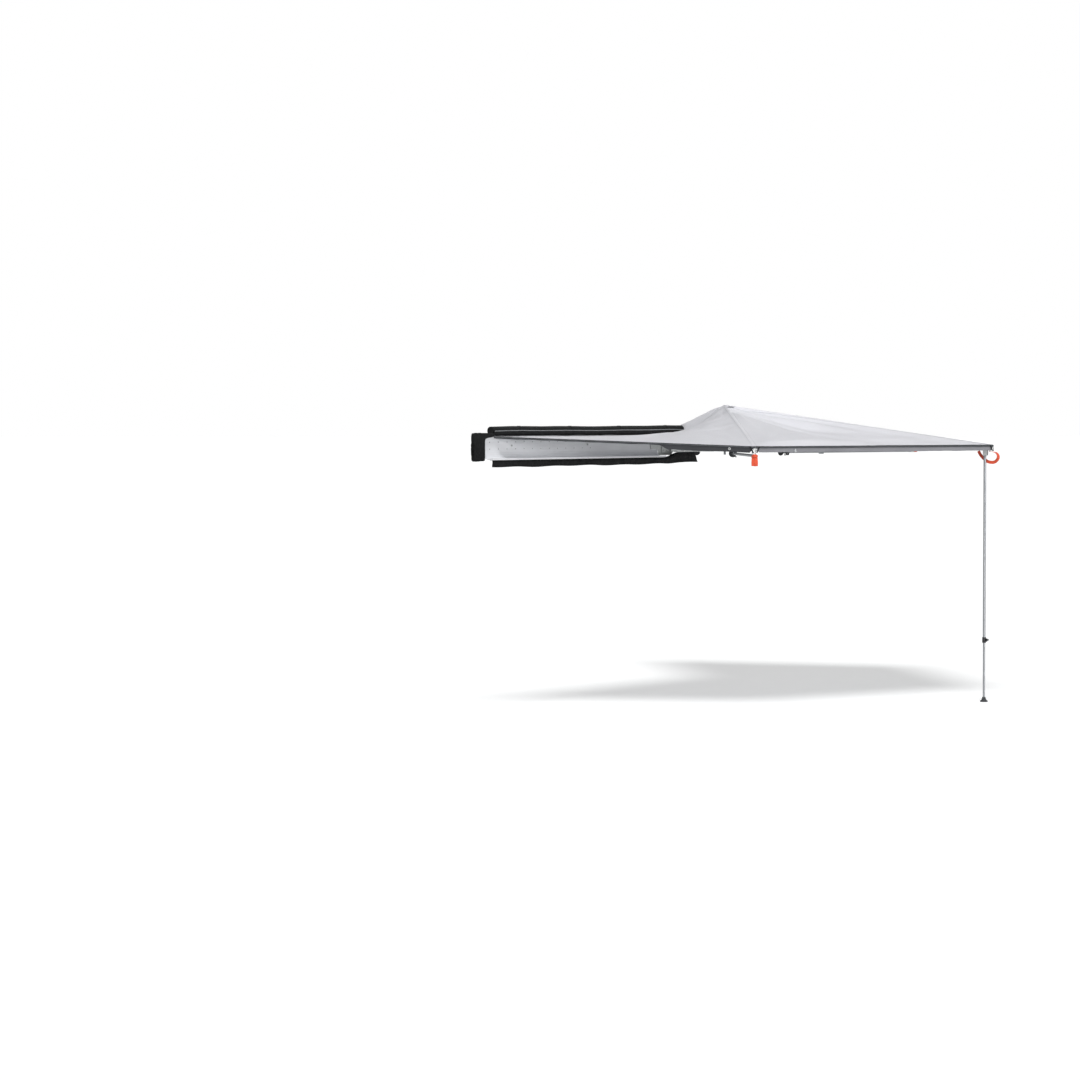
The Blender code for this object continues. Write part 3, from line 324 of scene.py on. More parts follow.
class Graph:
    """The nodes of a material or of the world, with short ways to add the usual ones."""

    def __init__(self, tree: bpy.types.NodeTree) -> None:
        """Take the tree, and its Principled shader where it has one."""
        self.tree, self.shader = tree, tree.nodes.get("Principled BSDF")

    def add(self, kind: str, settings: dict[Any, Any] | None = None,
            links: dict[Any, Socket] | None = None, output: int | str = 0) -> Socket:
        """Add a node, set it and link it.

        Args:
            kind: the node's type, without ShaderNode.
            settings: its attributes by their lower-case name, then its inputs' values.
            links: sockets to link to inputs, by the input's name or number.
            output: the output that is wanted.

        Returns:
            That output.
        """
        node = self.tree.nodes.new(f"ShaderNode{kind}")
        for key, value in (settings or {}).items():
            if isinstance(key, str) and key.islower():
                setattr(node, key, value)
            else:
                node.inputs[key].default_value = value
        for key, socket in (links or {}).items():
            self.tree.links.new(socket, node.inputs[key])
        return node.outputs[output]

    def put(self, **values: Any) -> None:
        """Set the shader's inputs, or link them.

        Args:
            values: a value or a socket for each, by its name with _ in place of a space.
        """
        for key, value in values.items():
            entry = self.shader.inputs[key.replace("_", " ")]
            if isinstance(value, Socket):
                self.tree.links.new(value, entry)
            else:
                entry.default_value = value

    def noise(self, vector: Socket, scale: float, detail: float, rough: float = 0.5) -> Socket:
        """Add a noise texture."""
        return self.add("TexNoise", {"Scale": scale, "Detail": detail, "Roughness": rough},
                        {"Vector": vector})

    def remap(self, value: Socket, to: tuple[float, float] = (0.0, 1.0),
              start: tuple[float, float] = (0.0, 1.0)) -> Socket:
        """Map a value from one range to another."""
        return self.add("MapRange", {"From Min": start[0], "From Max": start[1],
                                     "To Min": to[0], "To Max": to[1]}, {"Value": value})

    def calc(self, operation: str, first: Socket, second: Socket | float,
               third: float = 0.0) -> Socket:
        """Add a math node.

        Args:
            operation: what it does.
            first: its first value.
            second: its second value.
            third: the tolerance of COMPARE.

        Returns:
            Its result.
        """
        linked = isinstance(second, Socket)
        settings = {"operation": operation, 2: third} | ({} if linked else {1: second})
        return self.add("Math", settings, {0: first} | ({1: second} if linked else {}))

    def mix(self, share: float, first: Socket, second: Socket) -> Socket:
        """Mix two patterns."""
        return self.add("Mix", {"data_type": "FLOAT", 0: share}, {2: first, 3: second})

    def tint(self, colour: str, pattern: Socket, shades: tuple[float, float]) -> Socket:
        """Vary a colour: shades are its shares where a pattern is 0 and where it is 1."""
        ends = [(*(min(1.0, c * shade) for c in linear(colour)[:3]), 1.0) for shade in shades]
        return self.add("Mix", {"data_type": "RGBA", 6: ends[0], 7: ends[1]}, {0: pattern}, 2)

    def relief(self, height: Socket, depth: float) -> None:
        """Add a bump, on top of one that is there already.

        Args:
            height: the pattern, from 0 to 1.
            depth: its real depth in metres.
        """
        before = self.shader.inputs["Normal"].links
        links = {"Height": height} | ({"Normal": before[0].from_socket} if before else {})
        self.put(Normal=self.add("Bump", {"Distance": depth, "Strength": 1.0}, links))


@dataclass(frozen=True)
class Finish:
    """A material that starts from its colour and gloss; each kind adds its own surface."""

    name: str
    colour: str
    roughness: float
    metallic: float = 0.0
    specular: float = 0.5

    def make(self) -> bpy.types.Material:
        """Build the material.

        Returns:
            The Blender material.
        """
        material = bpy.data.materials.new(self.name)
        material.use_nodes = True
        graph = Graph(material.node_tree)
        graph.put(Base_Color=linear(self.colour), Roughness=self.roughness,
                  Metallic=self.metallic, Specular_IOR_Level=self.specular)
        material.diffuse_color = linear(self.colour)
        self.detail(graph)
        return material

    def detail(self, graph: Graph) -> None:
        """Add the surface of this kind of material."""

    def vary(self, graph: Graph, colours: Socket, shades: tuple[float, float], glosses: Socket,
             steps: tuple[float, float]) -> None:
        """Vary the colour and the gloss by patterns from 0 to 1.

        Args:
            graph: the material's nodes.
            colours: the colour's pattern.
            shades: the colour's share at 0 and at 1.
            glosses: the gloss's pattern.
            steps: what the roughness gains at 0 and at 1.
        """
        graph.put(Base_Color=graph.tint(self.colour, colours, shades), Roughness=graph.remap(
            glosses, (self.roughness + steps[0], self.roughness + steps[1])))


@dataclass(frozen=True)
class BrushedAluminium(Finish):
    """Extruded aluminium, anodised: fine drawing lines along the part, and a soft sheen."""

    metallic: float = 1.0
    along: tuple[float, float, float] = (4.0, 420.0, 420.0)

    def detail(self, graph: Graph) -> None:
        """Add handling marks, and drawing lines 2.4 mm apart: real, finer ones wouldn't show.

        Args:
            graph: the material's nodes.
        """
        place = graph.add("TexCoord", output="Object")
        stretched = graph.add("Mapping", {"Scale": self.along}, {"Vector": place})
        lines = graph.noise(stretched, 1.0, 3.0)
        both = graph.mix(0.45, lines, graph.noise(place, 7.0, 4.0))
        self.vary(graph, both, (0.80, 1.14), both, (-0.10, 0.12))
        graph.relief(lines, 0.00006)


@dataclass(frozen=True)
class ZincPlate(Finish):
    """Zinc plated steel sheet: a faint crystal pattern and a dull, slightly warm gloss."""

    metallic: float = 1.0

    def detail(self, graph: Graph) -> None:
        """Add crystals of about 9 mm and handling stains.

        Args:
            graph: the material's nodes.
        """
        place = graph.add("TexCoord", output="Object")
        crystals = graph.add("TexVoronoi", {"Scale": 110.0}, {"Vector": place}, "Color")
        stains = graph.noise(place, 14.0, 5.0)
        self.vary(graph, graph.mix(0.6, crystals, stains), (0.78, 1.16), stains, (-0.08, 0.15))


@dataclass(frozen=True)
class MouldedPlastic(Finish):
    """Injection moulded nylon or rubber: a fine leather-like grain and a little dust."""

    grain: float = 1400.0
    depth: float = 0.00012
    dust: float = 1.5

    def detail(self, graph: Graph) -> None:
        """Add the mould's grain of under a millimetre, and dust in patches.

        Args:
            graph: the material's nodes.
        """
        place = graph.add("TexCoord", output="Object")
        dust = graph.remap(graph.noise(place, 30.0, 6.0), start=(0.42, 0.72))
        self.vary(graph, dust, (0.9, 1.0 + self.dust), dust, (-0.06, 0.16))
        graph.relief(graph.noise(place, self.grain, 2.0), self.depth)


@dataclass(frozen=True)
class WovenCloth(Finish):
    """Coated woven cloth: a square weave, stiffer cords in it, soft crumples and soiling.

    The UV map is in metres. Real threads are 0.5 mm apart and wouldn't show, so they are drawn
    at thread metres.
    """

    thread: float = 0.0022
    cord: float = 0.0
    crumple: float = 0.0015
    crumple_scale: float = 9.0
    soil: tuple[float, float] = (0.90, 1.05)
    sheen: float = 0.12
    stitch_width: float = 0.0
    stitch_colour: str = "#3c3e40"

    def detail(self, graph: Graph) -> None:
        """Add weave, cords, crumples, soiling and stitch lines.

        Args:
            graph: the material's nodes.
        """
        flat, place = graph.add("TexCoord", output="UV"), graph.add("TexCoord", output="Object")
        colour = graph.tint(self.colour, graph.noise(place, 2.3, 7.0, 0.62), self.soil)
        weave = graph.calc("MULTIPLY", *(self.threads(graph, flat, axis, self.thread)
                                           for axis in "XY"))
        result = graph.add("VectorMath", {"operation": "SCALE"},
                           {0: colour, "Scale": graph.remap(weave, (0.86, 1.0))})
        if self.stitch_width:
            stitches = self.stitches(graph, flat)
            result = graph.add("Mix", {"data_type": "RGBA", 7: linear(self.stitch_colour)},
                               {0: stitches, 6: result}, 2)
            graph.relief(stitches, 0.0005)
        graph.relief(weave, self.thread * 0.12)
        if self.cord:
            # The thin, stiffer cords of a ripstop weave.
            cords = [graph.remap(self.threads(graph, flat, axis, self.cord), start=(0.94, 1.0))
                     for axis in "XY"]
            graph.relief(graph.calc("MAXIMUM", *cords), 0.0003)
        graph.relief(graph.noise(place, self.crumple_scale, 4.0, 0.55), self.crumple * 4)
        graph.put(Base_Color=result, Sheen_Weight=self.sheen, Sheen_Roughness=0.5)

    @staticmethod
    def threads(graph: Graph, flat: Socket, axis: str, pitch: float) -> Socket:
        """Draw rounded threads across the cloth, pitch metres apart."""
        return graph.add("TexWave", {
            "wave_type": "BANDS", "bands_direction": axis, "wave_profile": "SIN",
            "Scale": 2 * math.pi / (20 * pitch)}, {"Vector": flat}, "Fac")

    def stitches(self, graph: Graph, flat: Socket, inside: float = 0.004,
                 pitch: float = 0.006, stitch: float = 0.004) -> Socket:
        """Draw a row of stitches inside each edge of a band of stitch_width.

        Args:
            graph: the material's nodes.
            flat: the UV map, in metres.
            inside: how far in from the edge.
            pitch: from stitch to stitch.
            stitch: the length of one.

        Returns:
            Where the thread lies, from 0 to 1.
        """
        across, along = (graph.add("SeparateXYZ", None, {0: flat}, axis) for axis in "XY")
        middle = graph.calc("SUBTRACT", across, self.stitch_width / 2)
        row = graph.calc("COMPARE", graph.calc("ABSOLUTE", middle, 0.0),
                           self.stitch_width / 2 - inside, 0.0007)
        dash = graph.calc("LESS_THAN", graph.calc("MODULO", along, pitch), stitch)
        return graph.calc("MULTIPLY", row, dash)


class Palette:
    """All finishes of the awning, each made once."""

    FINISHES: ClassVar[dict[str, Finish]] = {
        # Mill aluminium, anodised silver: bright and soft, with lines along the tray.
        "tray": BrushedAluminium("Anodised aluminium extrusion", "#dcdde0", 0.42, metallic=0.3),
        # Grey anodised square tube: duller than the tray.
        "arm": BrushedAluminium("Grey anodised arm tube", "#a2a5a8", 0.46),
        # Thin drawn tube: satin, with lines along it.
        "leg": BrushedAluminium("Drawn aluminium leg tube", "#8a8c8f", 0.48,
                                along=(420.0, 420.0, 4.0)),
        # Zinc plated steel: cool grey with a faint crystal pattern.
        "zinc": ZincPlate("Zinc plated steel", "#b9bbba", 0.44),
        # Stainless wire: smoother than zinc.
        "wire": ZincPlate("Stainless steel wire", "#b4b6b8", 0.30),
        # Glass-filled nylon: black, satin, with a moulded grain.
        "nylon": MouldedPlastic("Moulded black nylon", "#1b1c1e", 0.52, specular=0.35),
        # Rubber: matt and dusty.
        "rubber": MouldedPlastic("Moulded rubber", "#1f2022", 0.82, grain=700.0, dust=2.4),
        # Ripstop polyester canvas: pale cool grey, matt, with cords every 8 mm.
        "canvas": WovenCloth("Ripstop canvas", "#d9d9de", 0.86, cord=0.008, crumple=0.0022,
                             crumple_scale=5.0, soil=(0.93, 1.03)),
        # The same canvas hanging as the outer valance, coloured darker than the panels as painted
        # shade.
        "valance": WovenCloth("Valance canvas", "#86868b", 0.88, cord=0.008, soil=(0.82, 1.05),
                              crumple_scale=16.0),
        # The first panel's valance: the same canvas, coloured darker still as painted deep shade.
        "dark valance": WovenCloth("Dark valance canvas", "#303135", 0.88, cord=0.008,
                                   soil=(0.80, 1.08), crumple_scale=16.0),
        # Polyester binding tape, charcoal, sewn with two rows of stitches.
        "binding": WovenCloth("Charcoal binding tape", "#303235", 0.80, specular=0.3,
                              thread=0.0016, crumple=0.0004, crumple_scale=40.0,
                              stitch_width=0.022, stitch_colour="#6a6c70"),
        # Seam tape over the hips, of the canvas colour but denser.
        "seam": WovenCloth("Seam tape", "#d6d6db", 0.82, thread=0.0016, crumple=0.0004,
                           crumple_scale=30.0, stitch_width=0.036, stitch_colour="#8b8f94"),
        # Black reinforcement webbing at the corners.
        "gusset": WovenCloth("Black reinforcement cloth", "#17181a", 0.84, specular=0.25,
                             thread=0.0018, crumple=0.0005, crumple_scale=40.0,
                             soil=(0.85, 1.3)),
        # PVC coated polyester: black with a soft shine, and a fine embossed weave.
        "cover": WovenCloth("PVC coated cover cloth", "#0b0c0d", 0.60, specular=0.12,
                            thread=0.0026, crumple=0.0030, crumple_scale=13.0,
                            soil=(0.85, 1.4), sheen=0.0),
        # Piping cord of a lighter grey.
        "piping": WovenCloth("Grey piping", "#77797c", 0.62, thread=0.0018, crumple=0.0004,
                             crumple_scale=60.0, soil=(0.85, 1.1)),
        # Polypropylene webbing, orange red, with a coarse lengthwise rib.
        "webbing": WovenCloth("Orange red webbing", "#dd4f29", 0.72, thread=0.0026,
                              crumple=0.0006, crumple_scale=50.0, soil=(0.80, 1.08), sheen=0.25,
                              stitch_width=0.030, stitch_colour="#b23a1d"),
    }

    # A node takes the first finish whose words are all in its name, or else zinc.
    NODES: ClassVar[tuple[tuple[tuple[str, ...], str], ...]] = (
        (("tray",), "tray"), (("_strap_ring",), "wire"), (("leg_", "_tube"), "leg"),
        (("_tube",), "arm"), (("peak_mast",), "leg"), (("mast_cap",), "nylon"),
        (("collar",), "nylon"), (("cam_lever",), "nylon"), (("foot",), "rubber"),
        (("cover",), "cover"), (("canopy",), "canvas"), (("_strap",), "webbing"))

    def __init__(self) -> None:
        """Make every material."""
        self.made = {key: finish.make() for key, finish in self.FINISHES.items()}

    def __getitem__(self, key: str) -> bpy.types.Material:
        """Give a material by its short name."""
        return self.made[key]

    def dress_frame(self, nodes: dict[str, Piece]) -> None:
        """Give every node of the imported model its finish.

        Args:
            nodes: the objects by their names.
        """
        for name, node in nodes.items():
            fits = (key for words, key in self.NODES if all(word in name for word in words))
            dress(node, self[next(fits, "zinc")])


@dataclass(frozen=True)
class Layout:
    """The places on the frame that the cloth is sewn and hung to."""

    peak: Vector = Vector((-1.36, 0.326, 0.383))
    rail_rear: Vector = Vector((-1.238, 0.0523, 0.162))
    rail_front: Vector = Vector((1.130, 0.0523, 0.162))
    corners: tuple[Vector, ...] = (
        Vector((0.217606, 1.60352, 0.095)), Vector((-1.843464, 2.31596, 0.095)),
        Vector((-3.42283, 0.768673, 0.095)), Vector((-2.724485, -1.329137, 0.095)))
    pins: tuple[Vector, ...] = (
        Vector((-1.36, 0.326, 0.0)), Vector((-1.421403, 0.330321, 0.0)),
        Vector((-1.453129, 0.277572, 0.0)), Vector((-1.419627, 0.225933, 0.0)))
    azimuths: tuple[float, ...] = (39.0, 102.0, 166.0, 230.0)
    floor_z: float = -1.763
    peak_hole: float = 0.020

    def near_peak(self, corner: Vector) -> Vector:
        """Give the point of the canopy's hole that lies towards a corner."""
        return self.peak + (corner - self.peak).normalized() * self.peak_hole

    def arm_frame(self, arm: int) -> Matrix:
        """Give the frame of an arm, from 1 to 4: its own pin, with X along the arm."""
        turn = Matrix.Rotation(math.radians(self.azimuths[arm - 1]), 4, "Z")
        return Matrix.Translation(self.pins[arm - 1]) @ turn


@dataclass(frozen=True)
class Riding:
    """Which body a cloth piece goes with; its joint, axis, anchor and keep are held but not used.
    """

    body: str
    joint: str
    axis: Vector
    anchor: Vector
    keep: float = 0.05

    def apply(self, piece: Piece) -> None:
        """Set a finished piece on its body.

        Args:
            piece: the piece, in its place.
        """
        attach(piece, self.body)
        tuple(self.axis)
        tuple(self.anchor)
        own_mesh(piece)


@dataclass(frozen=True)
class Cloth:
    """A kind of cloth: its look and thickness, and how it is held.

    Offset, from -1 to 1, is the side that it grows to, and smooth an angle in degrees.
    """

    look: str
    thickness: float
    held: Hold = Hold.STRETCHED
    slot: Slot | None = None
    offset: float = -1.0
    smooth: float = 50.0


@dataclass
class Assembly:
    """A sub-assembly, with the way its sheets and its hardware are finished."""

    layout: Layout
    palette: Palette

    def sew(self, piece: Piece, cloth: Cloth, flat: tuple[float, float], rests_on: list[str],
            area: float | None = None) -> Piece:
        """Give a sheet its thickness and its look.

        Args:
            piece: the sheet.
            cloth: its kind.
            flat: the size that it was cut to; not used.
            rests_on: the names of what it lies on or hangs from; not used.
            area: its flat area, where the cut isn't a rectangle; not used.

        Returns:
            The same piece.
        """
        wall = piece.modifiers.new("Cloth", "SOLIDIFY")
        wall.thickness, wall.offset = cloth.thickness, cloth.offset
        finish_mesh(piece, cloth.smooth)
        dress(piece, self.palette[cloth.look])
        return piece

    def polish(self, piece: Piece, look: str, slot: Slot, smooth: float) -> Piece:
        """Finish a piece that isn't a sheet.

        Args:
            piece: the mesh object.
            look: its finish in the palette.
            slot: its material slot in the record; not used.
            smooth: edges sharper than this, in degrees, stay sharp.

        Returns:
            The same piece.
        """
        finish_mesh(piece, smooth)
        dress(piece, self.palette[look])
        return piece


@dataclass(frozen=True)
class Folds:
    """How high the canopy's folds stand, in metres, and where they run, as shares of a panel."""

    pull: float = 0.0046
    pull_points: tuple[tuple[float, float], ...] = ((0.0, 1.0), (1.0, 1.0), (0.5, -0.15))
    wide: float = 0.0110
    ripple: float = 0.0050
    gully: float = 0.020
    pucker: float = 0.0035
    slack: float = 0.030
    fan: float = 0.0085
    step: float = 0.026
    ridge: float = 0.032
    ridges: tuple[tuple[float, float, float], ...] = ((0.76, 0.40, 0.11), (0.80, 0.80, 0.12))
    billow: float = 0.068

    def first(self, u: float, v: float) -> float:
        """Give the first panel's own folds.

        Args:
            u: share from the rail to the first arm.
            v: share from the rear to the front.

        Returns:
            Their height.
        """
        # A gully from the peak to the rail's rear end, puckers beside the hip, and slack cloth.
        gully = hill(v, 0.10 + 0.30 * (1 - u) ** 1.5, 0.050) * smoothstep(0.0, 0.2, u)
        pucker = math.sin(v * 58.0) * hill(u, 0.82, 0.10)
        slack = hill(v, 0.0, 0.26) * hill(u, 0.34, 0.24)
        return self.pucker * pucker - self.gully * gully - self.slack * slack

    def second(self, u: float, v: float) -> float:
        """Give the second panel's own folds.

        Args:
            u: share from the first arm to the second.
            v: share from the peak to the rim.

        Returns:
            Their height.
        """
        # Pull lines fan out to the second corner, and a soft step runs to the rim's middle.
        lines = math.sin((u - 0.30 * v) * 26.0 + 0.8) * smoothstep(0.15, 0.4, u)
        line = 0.38 * smoothstep(0.08, 0.52, v) + 0.14 * smoothstep(0.66, 1.0, v)
        height = self.fan * lines * hill(v, 0.42, 0.30) - self.step * math.tanh((u - line) / 0.050)
        for across, along, wide in self.ridges:
            height += (self.ridge * math.tanh((u - across) / 0.06) * hill(u, across, wide)
                       * hill(v, along, wide * 1.3))
        return height

    def height(self, panel: int, u: float, v: float, point: Vector) -> float:
        """Give the height of all creases at a point: they fade out towards the seams.

        Args:
            panel: from 1 to 5.
            u: share across.
            v: share from the peak to the rim.
            point: the place on the surface.

        Returns:
            The height to add.
        """
        height = self.wide * wander(u * 5.0 + panel * 7.3, v * 1.7, 0.4)
        height += self.ripple * wander(point.x * 3.1, point.y * 3.1, panel * 2.0)
        for across, along in self.pull_points:
            reach = ((u - across) * 1.6, v - along)
            height += (self.pull * math.sin(math.atan2(*reach) * 17 + panel * 1.7)
                       * math.exp(-math.hypot(*reach) / 0.34))
        if panel == 1:
            height += self.first(u, v)
        elif panel == 2:
            height += self.second(u, v)
        return height * (smoothstep(0, 0.10, u) * smoothstep(0, 0.10, 1 - u)
                         * smoothstep(0, 0.09, v) * smoothstep(0, 0.06, 1 - v))

    def flap(self, u: float, v: float) -> float:
        """Give how high the slack edge of the closing flap stands beside the first panel."""
        across = smoothstep(0, 0.11, 1 - u) * (1 - smoothstep(0.17, 0.62, 1 - u))
        return self.billow * across * (1 - math.exp(-v / 0.28)) * smoothstep(0, 0.09, 1 - v)


@dataclass
class Canopy(Assembly):
    """The five sewn panels with their valances, bindings, seam tapes and corner cloths.

    Panels count from 1, at the rail's front, to 5, the closing flap.
    """

    sag: float = 0.030
    valance_drop: float = 0.041
    side_drop: float = 0.044
    side_short: float = 0.014
    notch: float = 0.036
    seam_width: float = 0.036
    tape_lift: float = 0.0016
    binding_width: float = 0.022
    patch_radius: float = 0.085
    patch_hole: float = 0.019
    gusset_width: float = 0.011
    # The eyelet's ring and wire, the slide's size and rim, and both pieces' places on a valance.
    eyelet: tuple[float, float] = (0.0068, 0.0020)
    eyelet_place: tuple[float, float] = (0.912, 0.52)
    slide: tuple[float, float, float] = (0.013, 0.0024, 0.026)
    slide_rim: float = 0.0022
    slide_place: tuple[float, float] = (0.152, 0.74)
    # The folded binding and the rail's tape in section: distance inwards, and height.
    binding_fold: tuple[tuple[float, float], ...] = (
        (0.004, 0.0012), (-0.0020, 0.0014), (-0.0046, -0.0006), (-0.0050, -0.0050),
        (-0.0052, -0.0125))
    rail_fold: tuple[tuple[float, float], ...] = (
        (0.024, 0.0035), (0.010, 0.0018), (0.0008, 0.0010), (-0.0040, 0.0))
    folds: Folds = Folds()

    PANEL: ClassVar[Cloth] = Cloth("canvas", 0.0012, slot=Slot.CANVAS, smooth=60.0)
    # The valances' canvas colours are darker than the panels' as painted shade.
    VALANCE: ClassVar[Cloth] = Cloth("valance", 0.0012, Hold.HUNG, Slot.CANVAS)
    DEEP_SHADE_VALANCE: ClassVar[Cloth] = Cloth("dark valance", 0.0012, Hold.HUNG, Slot.CANVAS)
    BINDING: ClassVar[Cloth] = Cloth("binding", 0.0010)
    RAIL_TAPE: ClassVar[Cloth] = Cloth("binding", 0.0008)
    SEAM: ClassVar[Cloth] = Cloth("seam", 0.0008, slot=Slot.CANVAS, smooth=60.0)
    PATCH: ClassVar[Cloth] = Cloth("seam", 0.0012, slot=Slot.CANVAS, smooth=60.0)
    GUSSET: ClassVar[Cloth] = Cloth("gusset", 0.0014)

    def ends(self, panel: int) -> tuple[tuple[Vector, Vector], tuple[Vector, Vector]]:
        """Give a panel's upper edge and rim.

        Args:
            panel: its number.

        Returns:
            The two ends of the upper edge, and the two ends of the rim.
        """
        lay = self.layout
        if panel == 1:
            return ((lay.rail_rear, lay.near_peak(lay.corners[0])),
                    (lay.rail_front, lay.corners[0]))
        start = lay.corners[panel - 2]
        end = lay.corners[panel - 1] if panel < 5 else lay.rail_rear + Vector((-0.006, 0, 0))
        return (lay.near_peak(start), lay.near_peak(end)), (start, end)

    def rim_length(self, panel: int) -> float:
        """Give the length of a panel's rim."""
        rim = self.ends(panel)[1]
        return (rim[0] - rim[1]).length

    def riding(self, panel: int) -> Riding:
        """Give the body that a panel goes with: its earlier arm, or the case for the first panel.

        Args:
            panel: its number.

        Returns:
            Its body, with a joint, an axis and an anchor that nothing uses.
        """
        lay = self.layout
        if panel == 1:
            return Riding("case", "arm_1_swing", OUT, lay.rail_rear)
        hip = lay.corners[panel - 2] - lay.peak
        return Riding(f"arm_{panel - 1}", f"arm_{min(panel, 4)}_swing",
                      hip.cross(UP).normalized(), lay.peak)

    def flat_point(self, panel: int, u: float, v: float) -> Vector:
        """Give a point of the panel's tensioned surface without its creases.

        Args:
            panel: its number.
            u: share across, from the earlier arm to the next.
            v: share from the peak to the rim.

        Returns:
            The point.
        """
        top, rim = self.ends(panel)
        point = top[0].lerp(top[1], u).lerp(rim[0].lerp(rim[1], u), v)
        point.z -= self.sag * 4 * u * (1 - u) * math.sin(math.pi * v ** 1.2)
        return point

    def surface(self, panel: int, u: float, v: float) -> Vector:
        """Give a point of the finished canopy.

        Args:
            panel: its number.
            u: share across.
            v: share from the peak to the rim.

        Returns:
            The point.
        """
        point = self.flat_point(panel, u, v)
        point.z += self.folds.height(panel, u, v, point)
        if panel == 5:
            point.z += self.folds.flap(u, v)
        return point

    def build_panel(self, panel: int) -> Piece:
        """Make one panel as a stretched sheet.

        Args:
            panel: its number.

        Returns:
            The panel.
        """
        top, rim = self.ends(panel)
        width = self.rim_length(panel)
        length = max((rim[0] - top[0]).length, (rim[1] - top[1]).length, width)
        piece = cloth_grid(f"canopy_cloth_{panel}", (72, 60),
                           lambda u, v: self.surface(panel, u, v), (width, length), UP)
        # A triangle fills half of its rectangle, and the first panel about two thirds.
        area = sheet_area(piece)
        deep = area / ((0.64 if panel == 1 else 0.5) * length)
        self.sew(piece, self.PANEL, (length, deep), [f"arm_{min(panel, 4)}_tube", "tray"], area)
        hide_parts(f"canopy_panel_{panel}")
        return piece

    def drop(self, panel: int, u: float) -> float:
        """Give the valance's height at a share of the rim: the first panel's starts short.

        Args:
            panel: its number.
            u: share along the rim.

        Returns:
            The height.
        """
        share = smoothstep(0.645, 0.685, u)
        return (self.side_short + (self.side_drop - self.side_short) * share if panel == 1
                else self.valance_drop)

    def outward(self, panel: int) -> Vector:
        """Give the level direction that a panel's rim looks to.

        Args:
            panel: its number.

        Returns:
            The direction.
        """
        rim = self.ends(panel)[1]
        side = (rim[1] - rim[0]).cross(UP).normalized()
        return side if side.dot(rim[0] - self.layout.peak) > 0 else -side

    def valance_point(self, panel: int, u: float, t: float, lift: float = 0.0012) -> Vector:
        """Give a point of a valance.

        Args:
            panel: its number.
            u: share along the rim.
            t: share from the rim down to the hem.
            lift: how far it stands off the rim.

        Returns:
            The point.
        """
        rim = self.ends(panel)[1]
        along = (rim[1] - rim[0]).normalized()
        first = 0.0 if panel == 1 else self.notch * t
        run = first + u * (self.rim_length(panel) - first - self.notch * t)
        wave = math.sin(run * 21.0 + panel) * 0.55 + wander(run * 6.5, panel * 3.0, 0.2)
        point = rim[0] + along * run + self.outward(panel) * (lift + 0.0042 * wave * t * t)
        hem = 0.0022 * wander(run * 9.0, panel * 5.0, 1.7)
        point.z -= (self.drop(panel, u) + hem) * t
        return point

    def build_valance(self, panel: int) -> Piece:
        """Make the strip that hangs from a panel's rim.

        Args:
            panel: its number.

        Returns:
            The valance.
        """
        width = self.rim_length(panel)
        piece = cloth_grid(f"valance_{panel}", (180, 8),
                           lambda u, t: self.valance_point(panel, u, t),
                           (width, self.valance_drop), self.outward(panel))
        # The first panel's valance takes the canvas colour painted in deep shade.
        cloth = self.DEEP_SHADE_VALANCE if panel == 1 else self.VALANCE
        return self.sew(piece, cloth, (width, sheet_area(piece) / width * EASE),
                        [f"canopy_cloth_{panel}"])

    def build_binding(self, panel: int) -> Piece:
        """Fold the binding tape round a panel's rim.

        Args:
            panel: its number.

        Returns:
            The tape.
        """
        rim, out = self.ends(panel)[1], self.outward(panel)
        low, high = self.flat_point(panel, 0.5, 1.0), self.flat_point(panel, 0.5, 0.97)
        # How steeply the panel rises behind the middle of its rim.
        rise = (high.z - low.z) / max(1e-6, (high - low).xy.length)
        fold = [Vector((x, z, 0)) for x, z in
                ((0.012, 0.0010 + rise * 0.012), *self.binding_fold)]

        def place(u: float, t: float) -> Vector:
            """Give a point of the tape.

            Args:
                u: share along the rim.
                t: share across the tape.

            Returns:
                The point.
            """
            across = along_points(fold, t)
            ripple = 0.0006 * wander(u * 70.0, panel * 2.0, t)
            return rim[0].lerp(rim[1], u) - out * across.x + UP * (across.y + ripple)

        size = (self.rim_length(panel), self.binding_width)
        piece = cloth_grid(f"rim_binding_{panel}", (140, 10), place, size, out)
        turn_map(piece)
        return self.sew(piece, self.BINDING, size, [f"canopy_cloth_{panel}"])

    def beside(self, panel: int, edge: int, along: float, side: float, ridge: Vector) -> Vector:
        """Give a point of a panel at a distance from one of its edges.

        Args:
            panel: its number.
            edge: 0 for the edge at its earlier arm, and 1 for the one at the next.
            along: share from the peak to the rim.
            side: the distance from the edge.
            ridge: the edge's direction.

        Returns:
            The point.
        """
        row = self.flat_point(panel, 0, along) - self.flat_point(panel, 1, along)
        share = min(0.48, abs(side) / row.cross(ridge).length)
        return self.surface(panel, 1 - share if edge else share, along)

    def build_seam(self, hip: int) -> Piece:
        """Lay the seam tape over a hip.

        Args:
            hip: from 1 to 4, the number of the arm under it.

        Returns:
            The tape.
        """
        edge = self.layout.corners[hip - 1] - self.layout.peak

        def place(u: float, t: float) -> Vector:
            """Give a point of the tape.

            Args:
                u: share across the tape.
                t: share from the peak to the rim.

            Returns:
                The point.
            """
            side = (u - 0.5) * self.seam_width
            point = self.beside(hip if side < 0 else hip + 1, int(side < 0), 0.012 + 0.976 * t,
                                side, edge.normalized())
            return point + UP * (self.tape_lift + 0.0005 * wander(t * 40.0, hip, u))

        size = (self.seam_width, edge.length)
        return self.sew(cloth_grid(f"hip_seam_{hip}", (8, 90), place, size, UP), self.SEAM, size,
                        [f"canopy_cloth_{hip}", f"canopy_cloth_{hip + 1}"])

    def build_edge_seam(self) -> Piece:
        """Lay the seam tape over the line where the closing flap meets the first panel.

        Returns:
            The tape.
        """
        edge = self.layout.rail_rear - self.layout.peak
        ridge = edge.normalized()

